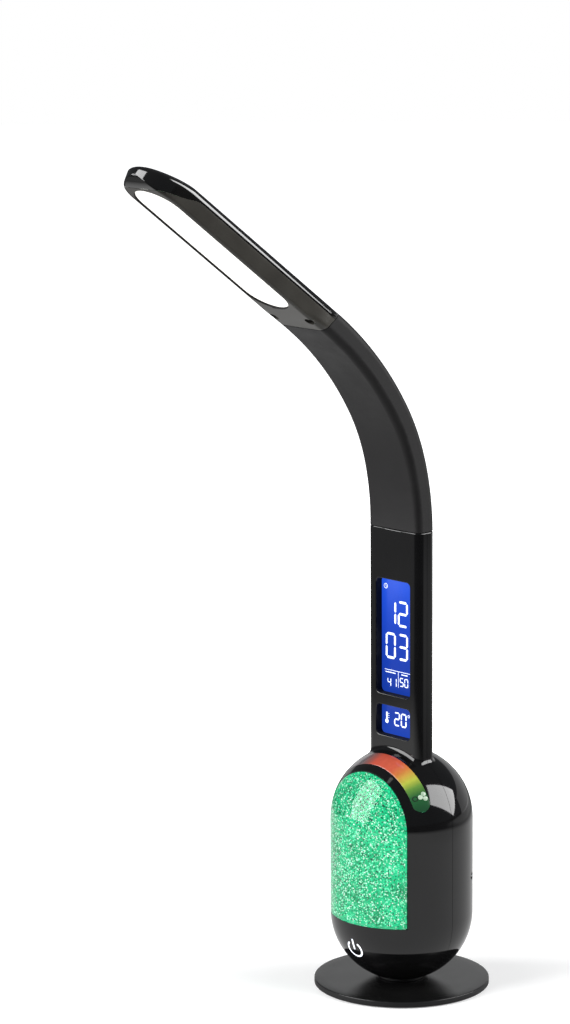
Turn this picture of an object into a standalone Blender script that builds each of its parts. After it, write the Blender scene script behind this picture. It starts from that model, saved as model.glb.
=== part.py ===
"""A desk lamp with a glitter globe, a clock and thermometer display and a flexible arm.

The base rests on the plane z = 0, centred on the origin. The display and the head face -Y.
Sizes below are in millimetres; every mesh is built in metres.
"""

from math import acos, asin, cos, degrees, hypot, pi, radians, sin, sqrt

import bmesh
import bpy
from mathutils import Matrix, Vector

MM = 0.001
GAP = 0.3  # clearance between pieces that touch

# Base
DISC_RADIUS = 57.5
DISC_TOP = 4.5
DISC_UNDER = 0.6
PAD_THICKNESS = 1.5
PAD_RADIUS = 54.0
NECK_RADIUS = 15.0
BASE_SCREW_CIRCLE = 9.0
BASE_SCREW_ANGLES = (90, 210, 330)

# Globe: a capsule of revolution about Z
GLOBE_RADIUS = 46.7
GLOBE_LOW = 50.2  # centre of the lower sphere
GLOBE_HIGH = 112.6  # centre of the upper sphere
GLOBE_WALL = 2.2
GLOBE_FLOOR = 7.2
SEGMENTS = 48

# Column
COLUMN_HALF_WIDTH = 23.3
COLUMN_HALF_DEPTH = 7.95
COLUMN_CORNER = 4.8
COLUMN_TOP = 305.1
COLUMN_WALL = 2.2
COLUMN_FRONT_WALL = 2.4
# height and outward growth of the flare that blends the column into the globe
FLARE = ((168.0, 0.0), (163.5, 0.9), (160.5, 2.1), (157.8, 3.9), (155.5, 5.6), (150.0, 7.4), (143.0, 8.2))

# Display openings in the column's front
DISPLAY_HALF_WIDTH = 16.0
MAIN_DISPLAY = (194.5, 272.7)
SMALL_DISPLAY = (167.5, 187.8)
PANEL_HALF_WIDTH = 18.0
FRAME_DEPTH = 4.3  # the openings' walls reach this far behind the column's front
PANEL_THICKNESS = 1.2
DISPLAY_BOARD_THICKNESS = 0.8

# Glitter window and vessel
WINDOW_PLANE = -30.0
WINDOW_BOTTOM = 49.7
VESSEL_HALF_WIDTH = 31.6
VESSEL_WALL = 2.0
VESSEL_BACK = -4.0
STIR_Y = -20.0
FILL_HEIGHT = 134.0  # of the vessel's filling hole
JACK_HEIGHT = 58.0  # of the power inlet in the rear housing

# Touch slider: a band over the globe's shoulder
SLIDER_FRONT = -25.0
SLIDER_BACK = -13.7
SLIDER_END = 27.6  # elevation of the centre of each rounded end, degrees

# Flexible arm: four equal stretches and how far each one bends at rest, in degrees
ARM_STRETCH = 42.5
ARM_BENDS = (14.05, 17.53, 11.52, 10.56)
ARM_LENGTH = 170.0
ARM_PIVOTS = (20.0, 46.0, 72.0, 98.0, 124.0, 150.0)
SLEEVE_WALL = 2.2
KNUCKLE = 12.0  # radius of the rounded end of each sleeve segment
CORE_RADIUS = 3.6
CORE_END_GAP = 0.7

# Head
HEAD_HALF_WIDTH = 21.0
HEAD_HALF_DEPTH = 8.2
HEAD_LENGTH = 178.3
HEAD_CORNER = 4.8
HEAD_TIP_ROUND = 23.5
HEAD_TIP_TAPER = 30.6
HEAD_TOP_DROP = 7.75
HEAD_UNDER_LIFT = 4.1
HEAD_WALL = 1.8
HEAD_SPLIT = 2.45  # the covers meet this far above the head's middle
SEAM_MIDDLE = 2.25
SEAM_SLANT = 2.75
DIFFUSER_HALF_WIDTH = 17.0
DIFFUSER = (28.0, 167.0)
HEAD_SCREW_X = 16.0
HEAD_SCREW_ALONG = 15.5

# Rear buttons
BUTTON_HEIGHTS = (204.0, 218.0, 232.0)
BUTTON_RADIUS = 3.7


# ---------------------------------------------------------------- tools

def clear_scene():
    for found in list(bpy.data.objects):
        bpy.data.objects.remove(found)


def make_collection(name):
    made = bpy.data.collections.new(name)
    bpy.context.scene.collection.children.link(made)
    return made


clear_scene()
PARTS = make_collection("glitter_desk_lamp")
CUTTERS = make_collection("cutters")


def material(name, colour, roughness=0.5, metallic=0.0, transmission=0.0, glow=0.0):
    made = bpy.data.materials.new(name)
    made.use_nodes = True
    shader = made.node_tree.nodes["Principled BSDF"]
    shader.inputs["Base Color"].default_value = (*colour, 1.0)
    shader.inputs["Roughness"].default_value = roughness
    shader.inputs["Metallic"].default_value = metallic
    shader.inputs["Transmission Weight"].default_value = transmission
    if glow:
        shader.inputs["Emission Color"].default_value = (*colour, 1.0)
        shader.inputs["Emission Strength"].default_value = glow
    return made


def object_from(name, mesh, collection=None):
    made = bpy.data.objects.new(name, mesh)
    (collection or CUTTERS).objects.link(made)
    return made


def bake(target):
    """Replaces the object's mesh by its evaluated one."""
    depsgraph = bpy.context.evaluated_depsgraph_get()
    mesh = bpy.data.meshes.new_from_object(target.evaluated_get(depsgraph))
    target.modifiers.clear()
    target.data = mesh
    return target


def outward(mesh, weld=1e-6):
    shape = bmesh.new()
    shape.from_mesh(mesh)
    bmesh.ops.remove_doubles(shape, verts=shape.verts, dist=weld)
    bmesh.ops.recalc_face_normals(shape, faces=shape.faces)
    shape.to_mesh(mesh)
    shape.free()


def lathe(profile, centre=(0, 0), steps=SEGMENTS, turn=None, close=False):
    """Turns a profile of (radius, height) about the upright line through centre."""
    mesh = bpy.data.meshes.new("profile")
    points = [(r * MM, 0.0, z * MM) for r, z in profile]
    edges = [(i, i + 1) for i in range(len(points) - 1)]
    if close:
        edges.append((len(points) - 1, 0))
    mesh.from_pydata(points, edges, [])
    made = object_from("lathe", mesh)
    screw = made.modifiers.new("Turn", "SCREW")
    screw.axis = "Z"
    screw.steps = steps
    screw.render_steps = steps
    screw.use_merge_vertices = True
    screw.merge_threshold = 0.00001
    bake(made)
    outward(made.data)
    if turn:
        made.data.transform(turn)
    made.data.transform(Matrix.Translation((centre[0] * MM, centre[1] * MM, 0.0)))
    return made


def block(low, high):
    mesh = bpy.data.meshes.new("block")
    shape = bmesh.new()
    bmesh.ops.create_cube(shape, size=1.0)
    size = [(b - a) * MM for a, b in zip(low, high)]
    middle = [(a + b) / 2 * MM for a, b in zip(low, high)]
    bmesh.ops.scale(shape, vec=size, verts=shape.verts)
    bmesh.ops.translate(shape, vec=middle, verts=shape.verts)
    shape.to_mesh(mesh)
    shape.free()
    return object_from("block", mesh)


def rod(start, end, radius, sides=16):
    """A round bar from start to end."""
    mesh = bpy.data.meshes.new("rod")
    shape = bmesh.new()
    a = Vector(start) * MM
    b = Vector(end) * MM
    size = radius * MM
    depth = (b - a).length
    bmesh.ops.create_cone(shape, cap_ends=True, segments=sides, radius1=size, radius2=size, depth=depth)
    turn = (b - a).to_track_quat("Z", "Y").to_matrix().to_4x4()
    shape.transform(Matrix.Translation((a + b) / 2) @ turn)
    shape.to_mesh(mesh)
    shape.free()
    return object_from("rod", mesh)


def slab(outline, low, high, plane="XZ"):
    """A flat outline given thickness. In plane XZ it is thick along Y, in XY along Z."""
    curve = bpy.data.curves.new("outline", "CURVE")
    curve.dimensions = "2D"
    curve.fill_mode = "BOTH"
    curve.extrude = (high - low) / 2 * MM
    line = curve.splines.new("POLY")
    line.points.add(len(outline) - 1)
    for point, (u, v) in zip(line.points, outline):
        point.co = (u * MM, v * MM, 0.0, 1.0)
    line.use_cyclic_u = True
    guide = object_from("outline", curve)
    depsgraph = bpy.context.evaluated_depsgraph_get()
    mesh = bpy.data.meshes.new_from_object(guide.evaluated_get(depsgraph))
    bpy.data.objects.remove(guide)
    made = object_from("slab", mesh)
    middle = (low + high) / 2 * MM
    if plane == "XZ":
        place = Matrix.Translation((0, middle, 0)) @ Matrix.Rotation(pi / 2, 4, "X")
    else:
        place = Matrix.Translation((0, 0, middle))
    mesh.transform(place)
    outward(mesh, 1e-5)
    return made


def combine(target, other, operation="DIFFERENCE"):
    """Cuts other from target, joins it on or keeps what they share. other is used up."""
    change = target.modifiers.new("Combine", "BOOLEAN")
    change.operation = operation
    change.solver = "EXACT"
    change.object = other
    bake(target)
    bpy.data.objects.remove(other)
    return target


def cut(target, *others):
    for other in others:
        combine(target, other)
    return target


def join(target, *others):
    for other in others:
        combine(target, other, "UNION")
    return target


def loft(rings):
    """A closed solid through rings of equally many points."""
    count = len(rings[0])
    points = [Vector(p) * MM for ring in rings for p in ring]
    faces = []
    for j in range(len(rings) - 1):
        for i in range(count):
            k = (i + 1) % count
            faces.append((j * count + i, j * count + k, (j + 1) * count + k, (j + 1) * count + i))
    faces.append(tuple(range(count)))
    faces.append(tuple(range((len(rings) - 1) * count, len(rings) * count)))
    mesh = bpy.data.meshes.new("loft")
    mesh.from_pydata(points, [], faces)
    outward(mesh)
    return object_from("loft", mesh)


def tube_loft(outer, inner):
    """An open-ended tube between two lofts of equally many points, closed at its end rims."""
    count = len(outer[0])
    levels = len(outer)
    points = [Vector(p) * MM for ring in outer + inner for p in ring]
    shift = levels * count
    faces = []
    for i in range(count):
        k = (i + 1) % count
        for j in range(levels - 1):
            a, b = j * count, (j + 1) * count
            faces.append((a + i, a + k, b + k, b + i))
            faces.append((shift + a + i, shift + b + i, shift + b + k, shift + a + k))
        end = (levels - 1) * count
        faces.append((i, shift + i, shift + k, k))
        faces.append((end + i, end + k, shift + end + k, shift + end + i))
    mesh = bpy.data.meshes.new("tube")
    mesh.from_pydata(points, [], faces)
    outward(mesh)
    return object_from("tube", mesh)


def rounded(half_u, half_v, corner, arc=3, sides=1, shift_v=0.0):
    """Outline of a rounded rectangle; its ends along u are divided into sides stretches."""
    corner = min(corner, half_u * 0.95, half_v * 0.95)
    points = []
    for su, sv, first in ((1, -1, -90), (1, 1, 0), (-1, 1, 90), (-1, -1, 180)):
        for step in range(arc + 1):
            angle = radians(first + 90 * step / arc)
            u = su * (half_u - corner) + corner * cos(angle)
            v = sv * (half_v - corner) + corner * sin(angle)
            points.append((u, v + shift_v))
        if sv * su < 0 and sides > 1:
            start = sv * (half_v - corner)
            for step in range(1, sides):
                points.append((su * half_u, start * (1 - 2 * step / sides) + shift_v))
    return points


def arch(half_width, bottom, centre, steps=24):
    """An upright outline with a half-round top."""
    points = [(-half_width, bottom), (half_width, bottom)]
    for step in range(steps + 1):
        angle = pi * step / steps
        points.append((half_width * cos(angle), centre + half_width * sin(angle)))
    return points


def finish(made, name, finish_material, pivot=None, place=None, smooth=30):
    """Names a finished piece, gives it its material and moves it into the lamp's collection."""
    made.name = name
    made.data.name = name
    if place:
        made.data.transform(place)
    outward(made.data)
    made.data.materials.clear()
    made.data.materials.append(finish_material)
    made.data.shade_smooth()
    made.data.set_sharp_from_angle(angle=radians(smooth))
    if pivot:
        origin = Vector(pivot) * MM
        made.data.transform(Matrix.Translation(-origin))
        made.location = origin
    for held in list(made.users_collection):
        held.objects.unlink(made)
    PARTS.objects.link(made)
    return made


# ---------------------------------------------------------------- materials

GLOSS_BLACK = material("gloss_black", (0.012, 0.012, 0.013), 0.12)
SATIN_BLACK = material("satin_black_metal", (0.03, 0.03, 0.032), 0.4, metallic=0.6)
SILICONE = material("silicone", (0.045, 0.045, 0.047), 0.6)
PAD_RUBBER = material("foot_rubber", (0.03, 0.03, 0.03), 0.9)
CLEAR = material("clear_plastic", (0.9, 0.97, 0.95), 0.05, transmission=0.9)
LIQUID = material("glitter_liquid", (0.04, 0.85, 0.45), 0.1, transmission=0.5, glow=0.6)
OPAL = material("opal_diffuser", (0.95, 0.94, 0.9), 0.4, glow=1.0)
SLIDER_PLASTIC = material("slider_plastic", (0.5, 0.3, 0.12), 0.25)
STEEL = material("steel", (0.55, 0.55, 0.56), 0.35, metallic=1.0)
CAST = material("cast_iron", (0.12, 0.12, 0.12), 0.6, metallic=0.8)
BOARD = material("circuit_board", (0.03, 0.2, 0.08), 0.5)
PART_BLACK = material("component_black", (0.03, 0.03, 0.03), 0.5)
LCD = material("lcd_blue", (0.03, 0.12, 0.75), 0.15, glow=0.8)
GUIDE = material("light_guide", (0.75, 0.85, 0.95), 0.2)
BUTTON_PLASTIC = material("button_plastic", (0.02, 0.02, 0.02), 0.4)
MAGNET = material("magnet_white_plastic", (0.7, 0.7, 0.7), 0.4)


# ---------------------------------------------------------------- shared forms

def arc_points(radius, centre, start, end, steps):
    points = []
    for step in range(steps + 1):
        angle = radians(start + (end - start) * step / steps)
        points.append((radius * cos(angle), centre + radius * sin(angle)))
    return points


def capsule(radius, floor=None, neck=None, steps=SEGMENTS, arcs=8):
    """The globe's form at a given radius, standing on a flat floor, with a short neck if asked."""
    profile = [(0.0, GLOBE_HIGH + radius)]
    profile += arc_points(radius, GLOBE_HIGH, 82, 0, arcs)
    if neck:
        low_angle = -degrees(acos(neck / radius))
    else:
        low_angle = -degrees(asin((GLOBE_LOW - floor) / radius))
    profile += arc_points(radius, GLOBE_LOW, 0, low_angle, arcs - 1)
    if neck:
        profile.append((neck, floor))
    profile.append((0.0, floor))
    return lathe(profile, steps=steps)


def column_outer():
    rings = []
    levels = [(COLUMN_TOP, 0.0), *FLARE, (138.0, FLARE[-1][1])]
    for height, grow in levels:
        outline = rounded(COLUMN_HALF_WIDTH + grow, COLUMN_HALF_DEPTH + grow, COLUMN_CORNER + grow, arc=4)
        rings.append([(u, v, height) for u, v in outline])
    return loft(rings)


def column_inner():
    front = -COLUMN_HALF_DEPTH + COLUMN_FRONT_WALL
    back = COLUMN_HALF_DEPTH - COLUMN_WALL
    outline = rounded(
        COLUMN_HALF_WIDTH - COLUMN_WALL, (back - front) / 2, 2.6, arc=3, shift_v=(front + back) / 2
    )
    rings = [[(u, v, z) for u, v in outline] for z in (136.0, COLUMN_TOP - 2.6)]
    return loft(rings)


def shell():
    """The whole hollow housing, before it is split into its front and rear halves."""
    made = capsule(GLOBE_RADIUS, floor=DISC_TOP + GAP, neck=NECK_RADIUS)
    join(made, column_outer())
    space = capsule(GLOBE_RADIUS - GLOBE_WALL, floor=GLOBE_FLOOR, steps=36, arcs=6)
    join(space, column_inner())
    cut(made, space)
    cut(made, rod((0, 0, COLUMN_TOP - 5), (0, 0, COLUMN_TOP + 5), 4.6))
    return made


def slider_form(shrink=0.0):
    """A radial wedge over the shoulder with rounded ends; it cuts the slot and shapes the strip."""
    end = SLIDER_END
    outline = [(0.0, GLOBE_HIGH)]
    for step in range(13):
        angle = radians(end + (180 - 2 * end) * step / 12)
        outline.append((60 * cos(angle), GLOBE_HIGH + 60 * sin(angle)))
    made = slab(outline, SLIDER_FRONT + shrink, SLIDER_BACK - shrink)
    middle = (SLIDER_FRONT + SLIDER_BACK) / 2
    radius = (SLIDER_BACK - SLIDER_FRONT) / 2 - shrink
    for side in (-1, 1):
        way = Vector((side * cos(radians(end)), 0, sin(radians(end))))
        root = Vector((0, middle, GLOBE_HIGH))
        join(made, rod(root + way * 20, root + way * 60, radius, sides=24))
    return made


def base_screw_spot(angle):
    return BASE_SCREW_CIRCLE * cos(radians(angle)), BASE_SCREW_CIRCLE * sin(radians(angle))


# Housing screws: two through the globe's sides and one near the top of the column
SHELL_SCREWS = {
    "shell_screw_left": (-38.0, 75.0, 21.5),
    "shell_screw_right": (38.0, 75.0, 21.5),
    "shell_screw_top": (0.0, 288.0, 6.6),
}


def screw_seat(name):
    """How far behind the parting plane a housing screw's head rests."""
    return 2.6 if name == "shell_screw_top" else 5.0


# ---------------------------------------------------------------- base

def build_base():
    profile = [
        (0.0, DISC_TOP), (54.5, DISC_TOP), (56.3, DISC_TOP - 0.25), (57.3, DISC_TOP - 1.1),
        (DISC_RADIUS, DISC_TOP - 2.0), (57.2, 1.3), (56.4, DISC_UNDER), (PAD_RADIUS + GAP, DISC_UNDER),
        (PAD_RADIUS + GAP, PAD_THICKNESS + GAP), (0.0, PAD_THICKNESS + GAP),
    ]
    disc = lathe(profile, steps=60)
    for angle in BASE_SCREW_ANGLES:
        x, y = base_screw_spot(angle)
        cut(disc, rod((x, y, 0), (x, y, 6), 1.75), rod((x, y, 0), (x, y, 3.5), 3.0))
    finish(disc, "base_disc", SATIN_BLACK)
    pad = lathe([(0, PAD_THICKNESS), (PAD_RADIUS, PAD_THICKNESS), (PAD_RADIUS, 0), (0, 0)], steps=60)
    finish(pad, "base_pad", PAD_RUBBER)
    for number, angle in enumerate(BASE_SCREW_ANGLES, 1):
        x, y = base_screw_spot(angle)
        head = rod((x, y, 2.1), (x, y, 3.2), 2.7)
        join(head, rod((x, y, 3.0), (x, y, 16.0), 1.45))
        finish(head, "base_screw_%d" % number, STEEL)
    weight_radius = GLOBE_RADIUS - GLOBE_WALL - 1.0
    levels = [26.0, 20.0, 15.0, 11.5]
    profile = [(6.0, 26.0)]
    profile += [(sqrt(weight_radius ** 2 - (GLOBE_LOW - z) ** 2), z) for z in levels]
    profile += [(14.5, 8.6), (6.0, 8.6)]
    weight = lathe(profile, steps=32, close=True)
    for angle in BASE_SCREW_ANGLES:
        x, y = base_screw_spot(angle)
        cut(weight, rod((x, y, 5), (x, y, 18), 1.75))
    finish(weight, "ballast_weight", CAST)


# ---------------------------------------------------------------- housing

def build_housing():
    front = shell()
    rear = front.copy()
    rear.data = front.data.copy()
    CUTTERS.objects.link(rear)
    cut(front, block((-80, -GAP / 2, -10), (80, 80, 400)))
    cut(rear, block((-80, -80, -10), (80, GAP / 2, 400)))

    cut(front, block((-80, -80, WINDOW_BOTTOM), (80, WINDOW_PLANE, 200)))
    frame_back = -COLUMN_HALF_DEPTH + FRAME_DEPTH
    join(front, block((-20.0, -6.5, 163.0), (20.0, frame_back, 277.5)))
    for low, high in (MAIN_DISPLAY, SMALL_DISPLAY):
        outline = rounded(DISPLAY_HALF_WIDTH, (high - low) / 2, 3.0, shift_v=(low + high) / 2)
        cut(front, slab(outline, -12, frame_back + 1))
    cut(front, slider_form())

    for name, (x, z, reach) in SHELL_SCREWS.items():
        thick = 2.6 if name == "shell_screw_top" else 3.0
        join(front, rod((x, -reach, z), (x, -GAP / 2, z), thick))
        cut(front, rod((x, -4.8 if thick < 3 else -10.5, z), (x, 1, z), 1.4, sides=12))
        join(rear, rod((x, GAP / 2, z), (x, reach, z), thick))
        seat = screw_seat(name)
        cut(rear, rod((x, -1, z), (x, 60, z), 1.4, sides=12))
        cut(rear, rod((x, seat, z), (x, 60, z), 2.0 if thick < 3 else 2.4))
    for angle in BASE_SCREW_ANGLES:
        x, y = base_screw_spot(angle)
        cut(rear if y > 0 else front, rod((x, y, 2), (x, y, 10), 1.75))
    cut(rear, rod((0, 38, JACK_HEIGHT), (0, 60, JACK_HEIGHT), 4.8, sides=24))
    for z in BUTTON_HEIGHTS:
        cut(rear, rod((0, 3, z), (0, 12, z), BUTTON_RADIUS + GAP, sides=20))
    finish(front, "front_housing", GLOSS_BLACK)
    finish(rear, "rear_housing", GLOSS_BLACK)

    for name, (x, z, _) in SHELL_SCREWS.items():
        seat = screw_seat(name)
        small = name == "shell_screw_top"
        head = rod((x, seat + GAP, z), (x, seat + GAP + 1.6, z), 1.7 if small else 2.1)
        join(head, rod((x, -4.2 if small else -9.5, z), (x, seat + GAP + 0.5, z), 1.1, sides=12))
        finish(head, name, STEEL)


# ---------------------------------------------------------------- glitter vessel and its stirrer

def build_vessel():
    vessel = capsule(GLOBE_RADIUS, floor=5.0)
    cut(vessel, block((-80, WINDOW_PLANE - GAP, -10), (80, 80, 200)))
    cut(vessel, block((-80, -80, -10), (80, 80, WINDOW_BOTTOM + GAP)))
    low = WINDOW_BOTTOM + GAP
    join(vessel, slab(arch(VESSEL_HALF_WIDTH, low, GLOBE_HIGH), WINDOW_PLANE - 1.5, VESSEL_BACK))
    inside = VESSEL_HALF_WIDTH - VESSEL_WALL
    space = slab(arch(inside, low + VESSEL_WALL, GLOBE_HIGH), -60, VESSEL_BACK - VESSEL_WALL)
    combine(space, capsule(GLOBE_RADIUS - VESSEL_WALL, floor=6.0, steps=36, arcs=6), "INTERSECT")
    cut(vessel, space)
    cut(vessel, rod((0, -10, FILL_HEIGHT), (0, 0, FILL_HEIGHT), 4.0))
    floor = low + VESSEL_WALL
    join(vessel, rod((0, STIR_Y, floor - 1), (0, STIR_Y, floor + 6), 1.2, sides=12))
    finish(vessel, "glitter_vessel", CLEAR)

    plug = rod((0, VESSEL_BACK - 4, FILL_HEIGHT), (0, VESSEL_BACK + 1.0, FILL_HEIGHT), 3.7)
    join(plug, rod((0, VESSEL_BACK + GAP, FILL_HEIGHT), (0, VESSEL_BACK + 1.8, FILL_HEIGHT), 5.5))
    finish(plug, "vessel_plug", PAD_RUBBER)

    liquid = slab(arch(inside - GAP, floor + GAP, GLOBE_HIGH), -60, VESSEL_BACK - VESSEL_WALL - GAP)
    combine(liquid, capsule(GLOBE_RADIUS - VESSEL_WALL - GAP, floor=6.0, steps=36, arcs=6), "INTERSECT")
    cut(liquid, rod((0, STIR_Y, floor - 2), (0, STIR_Y, floor + 9), 11.5, sides=24))
    cut(liquid, rod((0, VESSEL_BACK - 5, FILL_HEIGHT), (0, 0, FILL_HEIGHT), 4.2))
    finish(liquid, "glitter_liquid", LIQUID)

    rotor = rod((0, STIR_Y, floor + 0.8), (0, STIR_Y, floor + 3.0), 9.5, sides=24)
    for angle in (0, 90):
        turn = Matrix.Translation((0, STIR_Y * MM, 0)) @ Matrix.Rotation(radians(angle), 4, "Z")
        vane = block((-9.0, -0.8, floor + 2.5), (9.0, 0.8, floor + 7.0))
        vane.data.transform(turn)
        join(rotor, vane)
    join(rotor, rod((0, STIR_Y, floor + 2.0), (0, STIR_Y, floor + 7.0), 2.8, sides=16))
    cut(rotor, rod((0, STIR_Y, floor - 1), (0, STIR_Y, floor + 6.4), 1.5, sides=12))
    finish(rotor, "stirrer", MAGNET, pivot=(0, STIR_Y, floor + 1))

    motor = lathe([(0, 43), (11.2, 43), (12, 42.2), (12, 31.5), (11.2, 30.8), (0, 30.8)], (0, STIR_Y), 32)
    cut(motor, rod((0, STIR_Y, 34), (0, STIR_Y, 46), 1.3, sides=12))
    finish(motor, "stir_motor", STEEL)
    drive = rod((0, STIR_Y, 44.2), (0, STIR_Y, 48.6), 9.0, sides=24)
    join(drive, rod((0, STIR_Y, 34.6), (0, STIR_Y, 45.0), 1.0, sides=12))
    finish(drive, "magnet_drive", MAGNET, pivot=(0, STIR_Y, 44.2))


# ---------------------------------------------------------------- touch slider and electronics in the globe

def build_globe_electronics():
    strip = lathe(
        [(0.0, GLOBE_HIGH + GLOBE_RADIUS), *arc_points(GLOBE_RADIUS, GLOBE_HIGH, 82, 0, 8),
         *arc_points(44.7, GLOBE_HIGH, 0, 82, 8), (0.0, GLOBE_HIGH + 44.7)]
    )
    combine(strip, slider_form(GAP), "INTERSECT")
    finish(strip, "slider_strip", SLIDER_PLASTIC)

    outline = arc_points(36.6, GLOBE_HIGH, 28, 152, 16) + arc_points(35.8, GLOBE_HIGH, 152, 28, 16)
    finish(slab(outline, -24.0, -15.0), "slider_board", BOARD)

    board = block((-25, -2.6, 56), (25, -1.4, 124))
    for x in (-15, 0, 15):
        for z in (70, 110):
            join(board, block((x - 1.8, -3.3, z - 1.8), (x + 1.8, -2.4, z + 1.8)))
    finish(board, "colour_led_board", BOARD)

    board = block((-28, 10, 60), (28, 11.2, 122))
    join(board, block((-12, 11.0, 92), (-2, 12.6, 102)), block((8, 11.0, 70), (18, 19.0, 80)))
    join(board, rod((-18, 11.0, 76), (-18, 20, 76), 4.0))
    finish(board, "main_board", BOARD)

    centre = Vector((0, 0, GLOBE_LOW))
    way = Vector((0, -0.925, -0.380)).normalized()
    finish(rod(centre + way * 42.6, centre + way * 43.4, 5.0, sides=20), "power_touch_pad", STEEL)

    jack = block((-6, 29, JACK_HEIGHT - 6), (6, 43.7, JACK_HEIGHT + 6))
    join(jack, rod((0, 43, JACK_HEIGHT), (0, 46.6, JACK_HEIGHT), 4.4, sides=16))
    cut(jack, rod((0, 33, JACK_HEIGHT), (0, 50, JACK_HEIGHT), 3.2, sides=12))
    join(jack, rod((0, 32, JACK_HEIGHT), (0, 44, JACK_HEIGHT), 1.0, sides=8))
    finish(jack, "power_jack", PART_BLACK)


# ---------------------------------------------------------------- display in the column

def build_display():
    front = -COLUMN_HALF_DEPTH + FRAME_DEPTH + GAP
    half = PANEL_HALF_WIDTH
    step = PANEL_THICKNESS + GAP
    for name, (low, high) in (("main", (192.3, 275.3)), ("small", (165.4, 189.9))):
        panel = block((-half, front, low), (half, front + PANEL_THICKNESS, high))
        finish(panel, name + "_lcd_panel", LCD)
        guide = block((-half, front + step, low + 0.5), (half, front + 2 * step - GAP, high - 0.5))
        finish(guide, name + "_backlight", GUIDE)
    board_front = front + 2 * step
    board_back = board_front + DISPLAY_BOARD_THICKNESS
    board = block((-19.5, board_front, 164), (19.5, board_back, 284))
    finish(board, "display_board", BOARD)
    on_board = board_back + GAP
    for label, z in zip(("mode", "up", "down"), BUTTON_HEIGHTS):
        switch = block((-3, on_board, z - 3), (3, on_board + 2.0, z + 3))
        join(switch, rod((0, on_board + 1.5, z), (0, on_board + 2.6, z), 1.6, sides=12))
        finish(switch, "switch_" + label, PART_BLACK)
        key = rod((0, 6.5, z), (0, COLUMN_HALF_DEPTH + 0.8, z), BUTTON_RADIUS, sides=20)
        join(key, rod((0, 4.75, z), (0, 5.45, z), 4.8, sides=20))
        join(key, rod((0, 5.2, z), (0, 7.0, z), 3.2, sides=20))
        join(key, rod((0, 4.1, z), (0, 5.0, z), 1.4, sides=12))
        finish(key, "button_" + label, BUTTON_PLASTIC, pivot=(0, COLUMN_HALF_DEPTH, z))
    finish(rod((0, on_board, 250), (0, on_board + 2.8, 250), 4.5, sides=20), "alarm_buzzer", PART_BLACK)
    finish(rod((0, on_board, 268), (0, on_board + 2.0, 268), 6.2, sides=24), "clock_battery", STEEL)
    sensor = block((-1.2, on_board, 172), (1.2, on_board + 1.2, 176))
    finish(sensor, "temperature_sensor", PART_BLACK)
    socket = block((-10, -4.9, 291.6), (10, 5.1, COLUMN_TOP - 2.9))
    cut(socket, rod((0, 0, 296), (0, 0, 310), 3.9))
    finish(socket, "arm_socket", STEEL)


# ---------------------------------------------------------------- arm

def arm_frame(s):
    """Height along the arm's centreline to (y, z, lean from upright in radians)."""
    y, z, lean, done = 0.0, COLUMN_TOP, 0.0, 0.0
    if s <= 0:
        return 0.0, COLUMN_TOP + s, 0.0
    for bend in ARM_BENDS:
        run = min(s - done, ARM_STRETCH)
        turn = radians(bend) * run / ARM_STRETCH
        radius = ARM_STRETCH / radians(bend)
        y += radius * (cos(lean + turn) - cos(lean))
        z += radius * (sin(lean + turn) - sin(lean))
        lean += turn
        done += run
        if s - done < 1e-9:
            return y, z, lean
    return y - (s - done) * sin(lean), z + (s - done) * cos(lean), lean


def arm_point(s, x, under):
    """A point at s along the arm, x across it and under towards its underside."""
    y, z, lean = arm_frame(s)
    return x, y - under * cos(lean), z - under * sin(lean)


def sleeve_outline(s, inset=0.0):
    part = max(0.0, min(1.0, s / ARM_LENGTH))
    half_u = COLUMN_HALF_WIDTH + (HEAD_HALF_WIDTH - COLUMN_HALF_WIDTH) * part - inset
    half_v = COLUMN_HALF_DEPTH + (HEAD_HALF_DEPTH - COLUMN_HALF_DEPTH) * part - inset
    return rounded(half_u, half_v, COLUMN_CORNER - inset, arc=3, sides=5)


def reach_to_arc(index, inset, pivot, radius):
    """Where along the arm a sleeve edge line meets the round joint face about a pivot."""
    _, py, pz = arm_point(pivot, 0, 0)
    low, high = pivot - radius - 3, pivot
    for _ in range(40):
        middle = (low + high) / 2
        u, v = sleeve_outline(middle, inset)[index]
        _, y, z = arm_point(middle, u, v)
        if hypot(y - py, z - pz) > radius:
            low = middle
        else:
            high = middle
    return low


def seam_at(under):
    """Along the arm, where the head begins at a given depth; the seam leans back on top."""
    return ARM_LENGTH + SEAM_MIDDLE + SEAM_SLANT * under / HEAD_HALF_DEPTH


def sleeve_rings(number, inset, levels=3):
    count = len(sleeve_outline(0))
    rings = [[] for _ in range(levels)]
    for index in range(count):
        if number == 0:
            start = GAP
        else:
            start = reach_to_arc(index, inset, ARM_PIVOTS[number - 1], KNUCKLE)
        if number < len(ARM_PIVOTS):
            end = reach_to_arc(index, inset, ARM_PIVOTS[number], KNUCKLE + GAP)
        else:
            end = seam_at(sleeve_outline(ARM_LENGTH, inset)[index][1]) - GAP
        for level in range(levels):
            s = start + (end - start) * level / (levels - 1)
            u, v = sleeve_outline(s, inset)[index]
            rings[level].append(arm_point(s, u, v))
    return rings


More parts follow.
